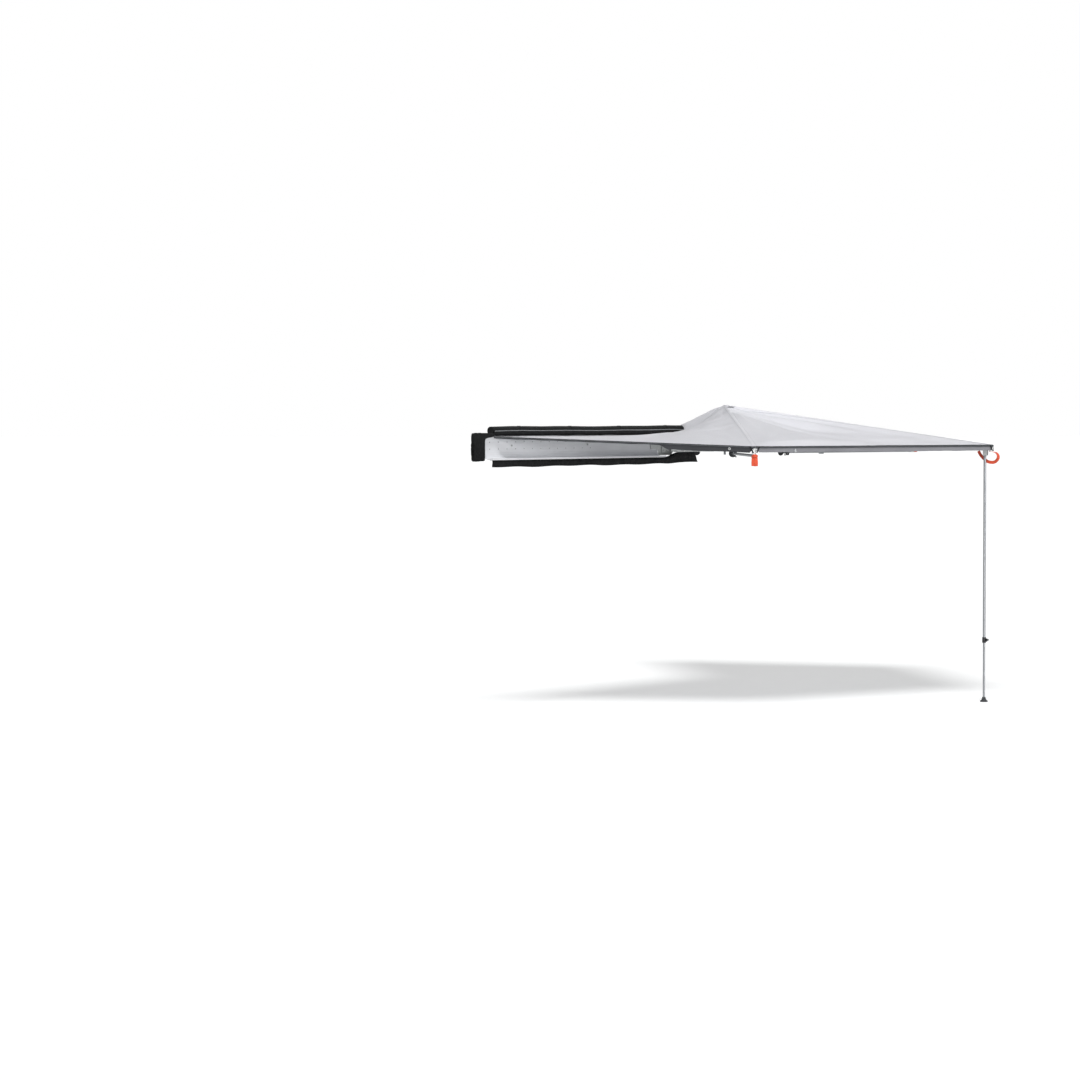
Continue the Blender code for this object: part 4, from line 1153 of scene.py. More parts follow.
        def place(u: float, t: float) -> Vector:
            """Give a point of the tape, which runs from the rail to the peak.

            Args:
                u: share across the tape.
                t: share along it.

            Returns:
                The point.
            """
            along = 0.03 + 0.95 * t
            side = (u - 0.5) * self.seam_width
            if side < 0:
                row = self.flat_point(1, along, 1) - self.flat_point(1, along, 0)
                return (self.surface(1, along, -side / row.cross(ridge).length)
                        + UP * self.tape_lift)
            return self.beside(5, 1, 1 - along, side, ridge) + UP * self.tape_lift

        piece = cloth_grid("edge_seam", (8, 40), place, (self.seam_width, edge.length), UP)
        return self.sew(piece, self.SEAM, (sheet_area(piece) / edge.length * EASE, edge.length),
                        ["canopy_cloth_1"])

    def build_rail_tape(self) -> Piece:
        """Make the black bead tape that holds the first panel in the rail's slot.

        Returns:
            The tape.
        """
        rear, front = self.layout.rail_rear, self.layout.rail_front
        fold = [Vector((x, z, 0)) for x, z in self.rail_fold]

        def place(u: float, t: float) -> Vector:
            """Give a point of the tape: on the panel, or below in the slot.

            Args:
                u: share along the rail.
                t: share across the tape.

            Returns:
                The point.
            """
            across = along_points(fold, t)
            point = (self.surface(1, across.x / 1.2, u) if across.x > 0.002
                     else rear.lerp(front, u) + Vector((0, across.x, 0)))
            return point + UP * across.y

        length = (front - rear).length
        piece = cloth_grid("rail_bead_tape", (120, 6), place, (length, 0.028), UP)
        turn_map(piece)
        return self.sew(piece, self.RAIL_TAPE, (length, 0.030), ["tray"])

    def build_peak_patch(self) -> Piece:
        """Sew the round reinforcement over the mast's top.

        Returns:
            The patch.
        """
        lay, reach, hole = self.layout, self.patch_radius, self.patch_hole
        spokes = [(end - lay.peak).normalized() for end in (*lay.corners, lay.rail_rear)]

        def place(u: float, t: float) -> Vector:
            """Give a point of the patch, between two of the spokes.

            Args:
                u: share round it.
                t: share from its hole to its rim.

            Returns:
                The point.
            """
            where = (u % 1.0) * len(spokes)
            first = int(where) % len(spokes)
            direction = spokes[first].lerp(spokes[(first + 1) % len(spokes)], where % 1.0)
            flat = direction.normalized().lerp(direction, 0.65)
            return lay.peak + flat * (hole + (reach - hole) * t) + UP * (0.0034 - 0.0012 * t)

        piece = cloth_grid("peak_patch", (60, 8), place, (2 * math.pi * reach, reach), UP)
        with editing(piece, "VERT", whole=True):
            bpy.ops.mesh.remove_doubles(threshold=0.0002)
        return self.sew(piece, self.PATCH, (2 * reach, 2 * reach), ["mast_cap"],
                        math.pi * (reach ** 2 - hole ** 2))

    def build_gusset(self, panel: int, end: End) -> Piece:
        """Sew the black corner tape over a valance's end.

        Args:
            panel: the valance's panel.
            end: which end of its rim.

        Returns:
            The corner tape.
        """
        rim = self.ends(panel)[1]
        corner = rim[end.value]
        along = (rim[1 - end.value] - corner).normalized()
        out = self.outward(panel) * 0.0085
        head = corner + along * 0.034 + out
        foot = corner + along * 0.010 + out - UP * (self.drop(panel, float(end.value)) + 0.003)
        size = (self.gusset_width, (foot - head).length)

        def place(u: float, t: float) -> Vector:
            """Give a point of the tape, which bulges a little.

            Args:
                u: share across the tape.
                t: share down it.

            Returns:
                The point.
            """
            bulge = math.sin(math.pi * t) * math.sin(math.pi * u)
            return head.lerp(foot, t) + along * (u - 0.5) * size[0] + out * 0.12 * bulge

        piece = cloth_grid(f"corner_tape_{panel}_{end.name.lower()}", (6, 14), place, size, out)
        return self.sew(piece, self.GUSSET, size, [f"valance_{panel}"], sheet_area(piece))

    def build_eyelet(self, panel: int) -> Piece:
        """Press a steel eyelet into a valance, just under the binding.

        Args:
            panel: the valance's panel.

        Returns:
            The eyelet.
        """
        deselect()
        bpy.ops.mesh.primitive_torus_add(
            major_radius=self.eyelet[0], minor_radius=self.eyelet[1], major_segments=28,
            minor_segments=10, location=self.valance_point(panel, *self.eyelet_place, 0.0030),
            rotation=UP.rotation_difference(self.outward(panel)).to_euler())
        piece = named("eyelet_front")
        with editing(piece) as shape:
            pick(piece, shape.faces, lambda face: face.normal.z > 0.8)
            bpy.ops.mesh.inset(thickness=0.0004, depth=-0.0002)
        return self.polish(piece, "zinc", Slot.ZINC, 35.0)

    def build_slide(self, panel: int) -> Piece:
        """Make the small steel slide that hangs on a valance.

        Args:
            panel: the valance's panel.

        Returns:
            The slide.
        """
        deselect()
        bpy.ops.mesh.primitive_cube_add(size=1.0)
        piece = named("valance_slide")
        piece.scale = self.slide
        piece.location = self.valance_point(panel, *self.slide_place, 0.0055)
        piece.rotation_euler = (-OUT).rotation_difference(self.outward(panel)).to_euler()
        bpy.ops.object.transform_apply(location=False, rotation=False, scale=True)
        with editing(piece) as shape:
            pick(piece, shape.faces, lambda face: abs(face.normal.y) > 0.9)
            bpy.ops.mesh.inset(thickness=self.slide_rim, depth=0.0)
            bpy.ops.mesh.inset(thickness=0.0006, depth=-0.0009)
        bevel(piece, 0.0005)
        return self.polish(piece, "wire", Slot.ZINC, 35.0)

    def build(self) -> list[Piece]:
        """Make the whole canopy.

        Returns:
            All its pieces.
        """
        made: list[Piece] = []
        for panel in range(1, 6):
            pieces = [self.build_panel(panel), self.build_binding(panel)]
            if panel < 5:
                pieces += [self.build_valance(panel), self.build_gusset(panel, End.FINISH)]
            if 1 < panel < 5:
                pieces.append(self.build_gusset(panel, End.START))
            if panel == 1:
                pieces += [self.build_eyelet(panel), self.build_rail_tape(),
                           self.build_edge_seam()]
            if panel == 2:
                pieces.append(self.build_slide(panel))
            for piece in pieces:
                self.riding(panel).apply(piece)
            made += pieces
        for hip in range(1, 5):
            made.append(self.build_seam(hip))
            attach(made[-1], f"arm_{hip}")
        made.append(self.build_peak_patch())
        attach(made[-1], "mast")
        return made


@dataclass
class Webbing(Assembly):
    """The orange red straps at the corners: three put up as hanks, and one let down in a loop."""

    width: float = 0.025
    keeper_width: float = 0.014
    loop_width: float = 0.023
    corner_reach: float = 2.0065
    tip: float = 2.030
    ring_bottom: float = 0.0456
    hank_drops: tuple[float, ...] = (0.088, 0.0, 0.027, 0.027)
    # Of each hank: where its head is, its lean in radians, and how far out it lies.
    hanks: tuple[tuple[float, float, float], ...] = (
        (-0.006, -0.055, -0.0060), (0.006, 0.065, -0.0035))
    runs: int = 4
    pitch: float = 0.0034
    loop_side: float = 0.0246

    BAND: ClassVar[Cloth] = Cloth("webbing", 0.0017, Hold.FOLDED, Slot.WEBBING, 0.0)

    def band(self, name: str, arm: int, path: Sequence[Vector], across: Sequence[Vector],
             width: float, gather: float = 0.0) -> Piece:
        """Lay one band of webbing along a line in an arm's frame.

        Args:
            name: the piece's name.
            arm: from 1 to 4.
            path: the middle of the band.
            across: for each of its points, the direction of the band's width.
            width: the band's width.
            gather: the share of its width that it loses where it hangs in the ring.

        Returns:
            The band.
        """
        frame = self.layout.arm_frame(arm)
        half = 0.5 / len(path)

        def place(u: float, t: float) -> Vector:
            """Give a point of the band, which is a little crowned and frayed.

            Args:
                u: share across the band.
                t: share along it.

            Returns:
                The point.
            """
            middle = along_points(path, t)
            below = self.ring_bottom - middle.z
            side = (u - 0.5) * width * (1 - gather * (1 - smoothstep(0.0, 0.034, below))
                                        - 0.4 * gather * smoothstep(0.060, 0.088, below))
            direction = along_points(across, t).normalized()
            tangent = (along_points(path, min(1.0, t + half))
                       - along_points(path, max(0.0, t - half)))
            normal = tangent.cross(direction).normalized()
            crown = 0.0006 * (1 - (2 * u - 1) ** 2)
            fray = 0.0004 * wander(t * (len(path) - 1) * 0.9, arm, u * 3)
            return frame @ (middle + direction * side + normal * (crown + fray))

        size = (width, sum((b - a).length for a, b in zip(path, path[1:])))
        piece = self.sew(cloth_grid(name, (8, 3 * (len(path) - 1)), place, size, UP), self.BAND,
                         size, [f"arm_{arm}_strap_ring"])
        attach(piece, f"arm_{arm}")
        return piece

    def hank_path(self, drop: float, start_y: float, lean: float, shift: float) -> list[Vector]:
        """Fold a band to and fro into a flat hank that hangs from the ring.

        Args:
            drop: how far it hangs down.
            start_y: where its head is, across the arm.
            lean: how far its foot leans to the side, in radians.
            shift: how far out its first layer lies.

        Returns:
            The path in the arm's frame.
        """
        path: list[Vector] = []
        for run in range(self.runs):
            short = 0.004 + 0.006 * abs(wander(run * 1.7, lean * 9, shift * 99))
            top, low = -0.006 - short * 0.4, -drop + short
            out = shift + run * self.pitch
            start, end, turn = (top, low, -1) if run % 2 == 0 else (low, top, 1)
            for share in (step / 6 for step in range(7)):
                path.append(Vector((out + 0.0020 * math.sin(math.pi * share), 0.0,
                                    start + (end - start) * share)))
            for angle in (math.pi * step / 5 for step in range(1, 5) if run < self.runs - 1):
                path.append(Vector((out + self.pitch / 2 * (1 - math.cos(angle)), 0.0,
                                    end + turn * self.pitch * 0.8 * math.sin(angle))))
        return [Vector((self.corner_reach + p.x, start_y - p.z * math.sin(lean),
                        self.ring_bottom + p.z * math.cos(lean))) for p in path]

    def keeper_point(self, angle: float) -> Vector:
        """Give a point of the keeper, an oblong ring round both hanks.

        Args:
            angle: round it.

        Returns:
            The point in the arm's frame.
        """
        x, y = (math.copysign(abs(side) ** 0.6, side)
                for side in (math.cos(angle), math.sin(angle)))
        return Vector((self.corner_reach + 0.0015 + 0.0105 * x, 0.021 * y,
                       self.ring_bottom - 0.018 + 0.002 * math.sin(angle)))

    def build_hank(self, arm: int) -> list[Piece]:
        """Make an arm's put-up strap: two flat hanks side by side and their keeper.

        Args:
            arm: from 1 to 4.

        Returns:
            The three bands.
        """
        made = []
        for number, (start_y, lean, shift) in enumerate(self.hanks, 1):
            path = self.hank_path(self.hank_drops[arm - 1], start_y, lean, shift)
            across = [Vector((0, math.cos(lean), math.sin(lean)))] * len(path)
            made.append(self.band(f"strap_hank_{arm}_{number}", arm, path, across, self.width,
                                  0.45))
        ring = [self.keeper_point(2 * math.pi * step / 32) for step in range(33)]
        made.append(self.band(f"strap_keeper_{arm}", arm, ring, [UP] * len(ring),
                              self.keeper_width))
        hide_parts(f"arm_{arm}_strap")
        return made

    def build_loop(self, arm: int) -> list[Piece]:
        """Make the strap of the open corner: from the ring out, down and back beside the leg.

        Args:
            arm: from 1 to 4.

        Returns:
            The band, in a list.
        """
        reach, top, tip, side = self.corner_reach, self.ring_bottom, self.tip, self.loop_side
        path = smooth_path([Vector(point) for point in (
            (reach - 0.006, 0.0, top - 0.001), (reach + 0.018, 0.002, top - 0.001),
            (tip + 0.022, 0.004, 0.038), (tip + 0.036, 0.008, 0.018),
            (tip + 0.031, 0.014, -0.008), (tip + 0.002, side, -0.030),
            (tip - 0.040, side, -0.028), (tip - 0.072, side, -0.008),
            (tip - 0.100, side, 0.022), (tip - 0.116, side, 0.050))], 7)
        across = []
        last = len(path) - 1
        for index in range(len(path)):
            twist = 1.42 * smoothstep(0.05, 0.62, index / last)
            normal = (path[min(last, index + 1)] - path[max(0, index - 1)]).cross(OUT)
            across.append(OUT * math.cos(twist) + normal.normalized() * math.sin(twist))
        loop = self.band(f"strap_loop_{arm}", arm, path, across, self.loop_width)
        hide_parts(f"arm_{arm}_strap")
        return [loop]

    def build(self) -> list[Piece]:
        """Make all straps.

        Returns:
            The bands.
        """
        made: list[Piece] = []
        for arm in range(1, 5):
            made += self.build_loop(arm) if arm == 2 else self.build_hank(arm)
        # The first arm's two hanks and keeper get meshes of their own.
        ring = self.layout.arm_frame(1) @ Vector((self.corner_reach, 0.0, self.ring_bottom))
        for band in made[:3]:
            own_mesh(band)
        return made


@dataclass
class TravelCover(Assembly):
    """The PVC travel cover: rolled up on the rail, with its end and lower flap hanging."""

    radius: float = 0.0300
    roll_rows: int = 300
    # How far the roll's first rows have opened, from its end's middle on.
    roll_caps: tuple[float, ...] = (0.0, 0.35, 0.72, 0.94)
    piping_radius: float = 0.0032
    hem_radius: float = 0.0019
    rear_x: float = -1.230
    front_x: float = 1.128
    middle_y: float = 0.021
    middle_z: float = 0.2030
    lap_edge: float = 0.55
    tie_xs: tuple[float, ...] = (-1.02, -0.42, 0.19, 0.80)
    tie_width: float = 0.024
    # The angles that a tie starts at and sweeps over, in degrees.
    tie_turn: tuple[float, float] = (-62.0, 304.0)
    backs: tuple[tuple[float, float], ...] = (
        (-0.886, -0.817), (-0.763, -0.027), (0.027, 0.883), (0.937, 1.232))
    back_z: tuple[float, float] = (0.060, 0.136)
    back_y: float = 0.0352
    neck_x: float = 1.249
    # The end flap's neck starts this far below its top, and this far out from its back.
    neck_size: tuple[float, float] = (0.034, 0.0295)
    zip_xs: tuple[float, float] = (-1.190, 1.132)
    zip_z: tuple[float, float] = (0.196, 0.1660)
    floor_end: float = -0.893
    flap_front: float = 1.230
    flap_rear: float = -1.290
    flap_y: float = 0.111
    flap_drop: float = 0.046
    flap_tuck: float = 0.020

    TIE: ClassVar[Cloth] = Cloth("cover", 0.0014, Hold.FOLDED, Slot.COVER, 0.0)
    FLAP: ClassVar[Cloth] = Cloth("cover", 0.0014, Hold.HUNG, Slot.COVER, 0.0, 55.0)
    ZIP: ClassVar[Cloth] = Cloth("cover", 0.0012, Hold.HUNG, Slot.COVER, 1.0)
    BACK: ClassVar[Cloth] = Cloth("cover", 0.0011, Hold.STRETCHED, Slot.COVER, 0.0)

    def roll_line(self, share: float) -> Vector:
        """Give the roll's middle, from the rear end on: it rises and sags in slow waves.

        Args:
            share: along the roll.

        Returns:
            The point.
        """
        wave = math.sin(9.0 * share + 0.6) * 0.6 + math.sin(23.0 * share) * 0.4
        return Vector((self.rear_x + (self.front_x - self.rear_x) * share, self.middle_y,
                       self.middle_z + 0.0025 * wave))

    def roll_radius(self, share: float, angle: float) -> float:
        """Give the roll's radius: its lap, its soft lumps and where the ties pinch it.

        Args:
            share: along the roll.
            angle: round it, from the lap's edge.

        Returns:
            The radius.
        """
        x = self.rear_x + (self.front_x - self.rear_x) * share
        lap = 0.93 + 0.05 * angle / (2 * math.pi)
        lumps = 0.022 * wander(x * 7.0, math.cos(angle) * 1.3, math.sin(angle) * 1.3)
        folds = 0.008 * wander(x * 23.0, angle * 0.8, 3.0)
        pinch = 0.04 * hill(min(abs(x - tie) for tie in self.tie_xs), 0.0, 0.022)
        return self.radius * (lap + lumps + folds - pinch)

    def build_roll(self) -> Piece:
        """Roll the cover up, with the lap's edge towards the outside.

        Returns:
            The roll, closed at both ends.
        """
        rows, caps = self.roll_rows, self.roll_caps

        def place(u: float, t: float) -> Vector:
            """Give a point of the roll, whose first and last rows draw in to its ends.

            Args:
                u: share round it.
                t: share along it.

            Returns:
                The point.
            """
            index = round(t * rows)
            inset = min(index, rows - index)
            scale = caps[inset] if inset < len(caps) else 1.0
            share = min(1.0, max(0.0, (index - 4) / (rows - 8)))
            angle = 2 * math.pi * u
            dish = 0.004 * (1 - scale) * (1 if index > rows / 2 else -1)
            return (self.roll_line(share) - Vector((dish, 0, 0))
                    + around(angle - self.lap_edge, self.roll_radius(share, angle) * scale))

        piece = cloth_grid("cover_roll_cloth", (40, rows), place,
                           (2 * math.pi * self.radius, self.front_x - self.rear_x), UP)
        close_tube(piece, bpy.ops.mesh.bridge_edge_loops)
        self.polish(piece, "cover", Slot.COVER, 70.0)
        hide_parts("cover_roll")
        return piece

    def build_cord(self, name: str, rows: int, size: tuple[float, float], radius: float,
                   middle: Callable[[float], Vector], look: str) -> Piece:
        """Sew a thin round cord along a line.

        Args:
            name: the piece's name.
            rows: its faces along.
            size: its width and length when cut.
            radius: its own radius.
            middle: gives its middle at a share.
            look: its finish in the palette.

        Returns:
            The cord.
        """
        piece = cloth_grid(name, (8, rows), lambda u, t: middle(t) + around(
            2 * math.pi * u, radius), size, UP)
        close_tube(piece, bpy.ops.mesh.edge_face_add)
        return self.polish(piece, look, Slot.COVER, 60.0)

    def lap_point(self, share: float, lap: float = -0.10) -> Vector:
        """Give a point of the lap's edge, where the piping is sewn on.

        Args:
            share: along the roll.
            lap: the angle of the lap's edge.

        Returns:
            The point.
        """
        share = 0.004 + 0.992 * share
        return self.roll_line(share) + around(
            lap, self.roll_radius(share, lap + self.lap_edge) + 0.0022)

    def build_tie(self, number: int, x: float) -> Piece:
        """Wrap a hook and loop tie round the roll and the rail's head.

        Args:
            number: its number.
            x: its place along the rail.

        Returns:
            The tie.
        """
        centre = self.roll_line((x - self.rear_x) / (self.front_x - self.rear_x))
        start, sweep = (math.radians(angle) for angle in self.tie_turn)

        def place(u: float, t: float) -> Vector:
            """Give a point of the tie, which winds outwards a little.

            Args:
                u: share across the tie.
                t: share along it.

            Returns:
                The point.
            """
            angle = start + sweep * t
            ripple = 0.0005 * wander(angle * 2, number * 3.0, u * 2)
            radius = self.radius * 0.90 + 0.0012 + 0.0016 * t + ripple
            return centre + Vector(((u - 0.5) * self.tie_width, 0, 0)) + around(angle, radius)

        size = (self.tie_width, sweep * self.radius)
        return self.sew(cloth_grid(f"cover_tie_{number}", (6, 56), place, size, UP), self.TIE,
                        size, ["cover_roll_cloth"])

    def build_end_flap(self) -> Piece:
        """Make the cover's slack front end, with its neck to the roll.

        Returns:
            The flap.
        """
        low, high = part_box("cover_end_flap")
        neck = self.neck_x
        deselect()
        bpy.ops.mesh.primitive_cube_add(size=1.0)
        piece = named("cover_end_cloth")
        piece.location = ((neck + high.x) / 2, (low.y + 0.012 + high.y) / 2,
                          (low.z + high.z) / 2)
        piece.scale = (high.x - neck, high.y - low.y - 0.016, high.z - low.z - 0.006)
        bpy.ops.object.transform_apply(location=True, rotation=False, scale=True)
        with editing(piece, whole=True):
            bpy.ops.mesh.subdivide(number_cuts=5)
            bpy.ops.mesh.select_all(action="DESELECT")
            pick(piece, bmesh.from_edit_mesh(piece.data).faces, lambda face: (
                face.normal.x < -0.9
                and face.calc_center_median().z > high.z - self.neck_size[0]
                and face.calc_center_median().y > low.y + self.neck_size[1]))
            bpy.ops.mesh.extrude_region_move(TRANSFORM_OT_translate={
                "value": (low.x - neck + 0.004, 0, 0)})
        smooth = piece.modifiers.new("Soft", "SUBSURF")
        smooth.levels = smooth.render_levels = 3
        finish_mesh(piece, 180.0)
        for vert in piece.data.vertices:
            x, y, z = vert.co
            folds = 0.0042 * wander(x * 9, y * 9, z * 24)
            dents = 0.0022 * wander(x * 30, y * 30, z * 11 + 5)
            slack = smoothstep(neck, neck + 0.03, x)
            vert.co = vert.co + vert.normal * (folds + dents - 0.002) * slack
        with editing(piece, whole=True):
            bpy.ops.uv.cube_project(cube_size=1.0, scale_to_bounds=False)
        self.polish(piece, "cover", Slot.COVER, 180.0)
        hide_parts("cover_end_flap")
        return piece

    def flap_top(self, x: float) -> float:
        """Give the height of the lower flap's top at a place along the tray."""
        return -0.0014 + 0.036 * smoothstep(-self.floor_end, 1.090, -x)

    def flap_point(self, u: float, down: float) -> Vector:
        """Give a point of the lower flap's hanging part.

        Args:
            u: share along it, from the rear end.
            down: share from its top to its hem.

        Returns:
            The point.
        """
        x = self.flap_rear + (self.flap_front - self.flap_rear) * u
        share = (x - self.floor_end) / (self.flap_front - self.floor_end)
        wave = math.sin(31.0 * share) * 0.6 + math.sin(13.0 * share + 1.0) * 0.4
        bend = 0.0065 * wave * down ** 1.5 + 0.0035 * wander(x * 11.0, 0.3, down * 1.5) * down
        drop = (self.flap_drop - 0.004 * wave + 0.75 * (self.flap_top(x) + 0.0014)) * (
            down - 0.02 * math.sin(math.pi * down))
        # Behind the tray's floor the flap is free: its end rises, and its corner trails back.
        free = smoothstep(1.12, -self.flap_rear, -x)
        return Vector((x - 0.045 * (down - 0.4) * free,
                       self.flap_y + 0.003 * math.sin(math.pi * min(1.0, down * 1.4)) + bend,
                       self.flap_top(x) - drop))

    def build_lower_flap(self) -> Piece:
        """Hang the cover's lower part under the tray, in slow waves.

        Returns:
            The flap.
        """
        span = self.flap_front - self.flap_rear
        tucked = 0.3

        def place(u: float, t: float) -> Vector:
            """Give a point of the flap, whose first part is tucked in under the tray.

            Args:
                u: share along it.
                t: share from its tucked edge to its hem.

            Returns:
                The point.
            """
            if t >= tucked:
                return self.flap_point(u, (t - tucked) / (1 - tucked))
            return Vector((self.flap_point(u, 0.0).x,
                           self.flap_y - self.flap_tuck * (1 - t / tucked),
                           self.flap_top(self.flap_rear + span * u)))

        piece = cloth_grid("cover_lower_cloth", (260, 18), place,
                           (span, self.flap_drop + self.flap_tuck), OUT)
        self.sew(piece, self.FLAP, (span, sheet_area(piece) / span * EASE), ["tray"])
        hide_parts("cover_lower_flap")
        return piece

    def build_zip_strip(self) -> Piece:
        """Hang the cover's zip strip from the roll, in front of the rail's head.

        Returns:
            The strip.
        """
        (rear, front), (head, hem) = self.zip_xs, self.zip_z

        def place(u: float, t: float) -> Vector:
            """Give a point of the strip.

            Args:
                u: share along it.
                t: share from its head to its hem.

            Returns:
                The point.
            """
            x = rear + (front - rear) * u
            ripple = wander(x * 8.0, 0.7, t * 1.3)
            y = 0.0525 + 0.0036 * math.sin(math.pi * t) + 0.0012 * ripple * t
            return Vector((x, y, head + (hem - head) * t + 0.0010 * ripple * t))

        width = front - rear
        piece = cloth_grid("cover_zip_strip", (200, 8), place, (width, head - hem + 0.001), OUT)
        return self.sew(piece, self.ZIP, (width, sheet_area(piece) / width * EASE),
                        ["cover_roll_cloth", "tray"])

    def build_back(self, number: int, start: float, end: float) -> Piece:
        """Rivet a length of the cover's back behind the tray's perforated wall.

        Args:
            number: its number.
            start: its rear end along the tray.
            end: its front end.

        Returns:
            The cloth.
        """
        low, high = self.back_z
        size = (end - start, high - low)
        piece = cloth_grid(f"cover_back_{number}", (24, 4), lambda u, t: Vector((
            start + (end - start) * u, self.back_y, high + (low - high) * t)), size, OUT)
        return self.sew(piece, self.BACK, size, ["tray"])

    def build(self) -> list[Piece]:
        """Make the whole cover.

        Returns:
            All its pieces.
        """
        made = [self.build_roll(),
                self.build_cord("cover_piping", 200, (0.020, 2.3), self.piping_radius,
                                self.lap_point, "piping"),
                self.build_end_flap(), self.build_lower_flap(),
                self.build_cord("cover_hem", 260, (0.012, 2.5), self.hem_radius,
                                lambda t: self.flap_point(0.001 + 0.998 * t, 1.0), "gusset"),
                self.build_zip_strip()]
        made += [self.build_back(number, *span) for number, span in enumerate(self.backs, 1)]
        made += [self.build_tie(number, x) for number, x in enumerate(self.tie_xs, 1)]
        for piece in made:
            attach(piece, "case")
        return made


@dataclass
class Fasteners(Assembly):
    """The bolts that hold the hinge plate to the tray and the outrigger to the plate."""

    head_radius: float = 0.0085
    head_height: float = 0.0048
    washer_radius: float = 0.0115
    washer_height: float = 0.0012
    flange_y: float = 0.0511
    # The bolts' places, as X and Z: on the plate, and on the outrigger's flange.
    plate_places: tuple[tuple[float, float], ...] = ((-0.822, 0.102), (-0.870, 0.102))
    flange_places: tuple[tuple[float, float], ...] = (
        (-0.955, 0.046), (-0.955, 0.088), (-1.055, 0.046), (-1.055, 0.088))

    def build_bolt(self, name: str, place: Vector) -> Piece:
        """Make a flanged hex bolt's head that looks along Y.

        Args:
            name: the piece's name.
            place: the middle of its seat.

        Returns:
            The bolt head.
        """
        deselect()
        bpy.ops.mesh.primitive_cylinder_add(
            vertices=24, radius=self.washer_radius, depth=self.washer_height,
            location=(0, 0, self.washer_height / 2))
        piece = named(name)
        with editing(piece) as shape:
            pick(piece, shape.faces, lambda face: face.normal.z > 0.9)
            bpy.ops.mesh.inset(thickness=self.washer_radius - self.head_radius * 0.93)
            bpy.ops.mesh.extrude_region_move(TRANSFORM_OT_translate={
                "value": (0, 0, self.head_height)})
            bpy.ops.mesh.inset(thickness=0.0011, depth=0.0004)
            bpy.ops.mesh.inset(thickness=0.0020, depth=-0.0003)
        # What stands above the washer is drawn in to six flats.
        for vert in piece.data.vertices:
            if vert.co.z > self.washer_height + 0.0001:
                angle = math.atan2(vert.co.y, vert.co.x)
                flat = math.cos(math.pi / 6) / math.cos((angle % (math.pi / 3)) - math.pi / 6)
                vert.co.x, vert.co.y = vert.co.x * flat, vert.co.y * flat
        bevel(piece, 0.0003)
        piece.rotation_euler = (-math.pi / 2, 0, 0)
        piece.location = place
        return self.polish(piece, "zinc", Slot.ZINC, 30.0)

    def build(self) -> list[Piece]:
        """Make all bolt heads.

        Returns:
            The bolts.
        """
        plate_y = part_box("hinge_plate")[1].y
        places = [Vector((x, plate_y, z)) for x, z in self.plate_places]
        places += [Vector((x, self.flange_y, z)) for x, z in self.flange_places]
        made = [self.build_bolt(f"plate_bolt_{number}", place)
                for number, place in enumerate(places, 1)]
        for piece in made:
            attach(piece, "case")
        return made


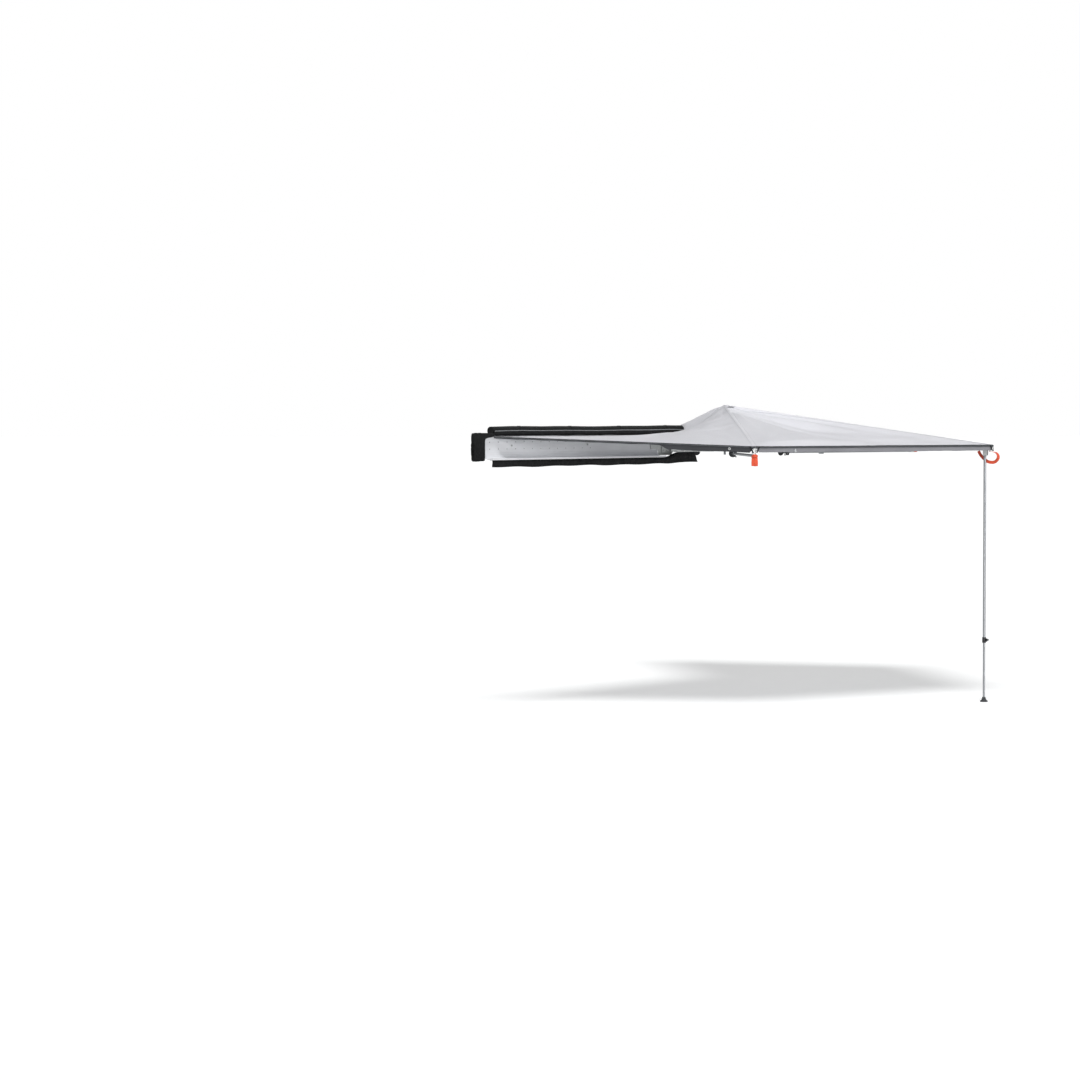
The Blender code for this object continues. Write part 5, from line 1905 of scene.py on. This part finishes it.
@dataclass
class Studio:
    """The plain pale floor, the soft lights and the photograph's camera."""

    layout: Layout
    eye: Vector = Vector((20.478, 14.591, 0.327))
    heading: Vector = Vector((-0.807, -0.590, 0.0))
    pitch: float = -2.082
    lens: float = 116.815
    sensor: float = 36.0
    sky: float = 0.23
    floor_lift: float = 0.42
    floor_size: float = 600.0
    floor_middle: tuple[float, float] = (-120.0, -90.0)

    @staticmethod
    def hold(name: str, data: Any, place: Vector, turn: Quaternion) -> Piece:
        """Put a camera or a lamp into the scene.

        Args:
            name: its name.
            data: the camera or the lamp.
            place: where it is.
            turn: how it is turned.

        Returns:
            Its object.
        """
        holder = bpy.data.objects.new(name, data)
        holder.location, holder.rotation_euler = place, turn.to_euler()
        bpy.context.scene.collection.objects.link(holder)
        return holder

    def build_camera(self) -> None:
        """Set the camera where the photograph was taken from."""
        camera = bpy.data.cameras.new("Camera")
        camera.lens, camera.sensor_width = self.lens, self.sensor
        camera.clip_start, camera.clip_end = 0.1, 300.0
        pitch = math.radians(self.pitch)
        look = self.heading.normalized() * math.cos(pitch) + UP * math.sin(pitch)
        bpy.context.scene.camera = self.hold("Camera", camera, self.eye,
                                             look.to_track_quat("-Z", "Y"))

    def build_floor(self) -> None:
        """Lay the floor on which the foot stands."""
        deselect()
        bpy.ops.mesh.primitive_plane_add(
            size=self.floor_size, location=(*self.floor_middle, self.layout.floor_z))
        floor = named("studio_floor")
        material = bpy.data.materials.new("Pale floor")
        material.use_nodes = True
        graph = Graph(material.node_tree)
        # The floor reads white like the backdrop, and still keeps the object's shadow.
        graph.put(Roughness=0.9, Specular_IOR_Level=0.1, Base_Color=linear("#d6d7d7"),
                  Emission_Color=(1.0, 1.0, 1.0, 1.0), Emission_Strength=graph.calc(
                      "MULTIPLY", self.seen_ray(graph), self.floor_lift))
        dress(floor, material)

    def build_world(self) -> None:
        """Light the scene evenly, and show a pale background behind it."""
        world = bpy.data.worlds.new("Studio")
        bpy.context.scene.world = world
        world.use_nodes = True
        graph = Graph(world.node_tree)
        back = graph.tree.nodes["Background"]
        back.inputs["Color"].default_value = linear("#fbfcfd")
        back.inputs["Strength"].default_value = self.sky
        seen = graph.add("Background", {"Color": linear("#ffffff"), "Strength": 1.0})
        shown = graph.add("MixShader", None,
                          {0: self.seen_ray(graph), 1: back.outputs[0], 2: seen})
        graph.tree.links.new(shown, graph.tree.nodes["World Output"].inputs["Surface"])

    @staticmethod
    def seen_ray(graph: Graph) -> Socket:
        """Tell the rays that show the backdrop, straight, mirrored or through glass.

        Args:
            graph: the nodes that need it.

        Returns:
            1 for such a ray, and 0 for one that carries light to a surface.
        """
        straight, mirrored, through = (graph.add("LightPath", output=f"Is {kind} Ray")
                                       for kind in ("Camera", "Glossy", "Transmission"))
        return graph.calc("MAXIMUM", graph.calc("MAXIMUM", straight, mirrored), through)

    def build_light(self, name: str, towards: Vector, angle: float, strength: float) -> None:
        """Set a wide, far lamp that lights everything alike.

        Args:
            name: its name.
            towards: the direction that it shines from.
            angle: how wide it looks, in degrees, for soft shadows.
            strength: its strength in watts per square metre.
        """
        light = bpy.data.lights.new(name, "SUN")
        light.angle, light.energy = math.radians(angle), strength
        self.hold(name, light, towards.normalized() * 12.0, towards.to_track_quat("Z", "Y"))

    def build(self) -> None:
        """Set up the whole studio."""
        self.build_camera()
        self.build_floor()
        self.build_world()
        self.build_light("Key light", Vector((0.46, 0.28, 0.70)), 18.0, 2.6)
        self.build_light("Fill light", Vector((0.55, 1.0, 0.08)), 14.0, 1.9)
        bpy.context.scene.view_settings.view_transform = "Standard"


def main() -> None:
    """Build the studio and dress the awning, sub-assembly by sub-assembly."""
    logging.basicConfig(level=logging.INFO, format="%(name)s: %(message)s")
    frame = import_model()
    layout, palette = Layout(), Palette()
    Studio(layout).build()
    palette.dress_frame(frame["nodes"])
    for kind in (Canopy, Webbing, TravelCover, Fasteners):
        for piece in kind(layout, palette).build():
            LOG.info("%s: %d faces", piece.name, len(piece.data.polygons))
    bpy.context.view_layer.update()


if __name__ == "__main__":
    main()
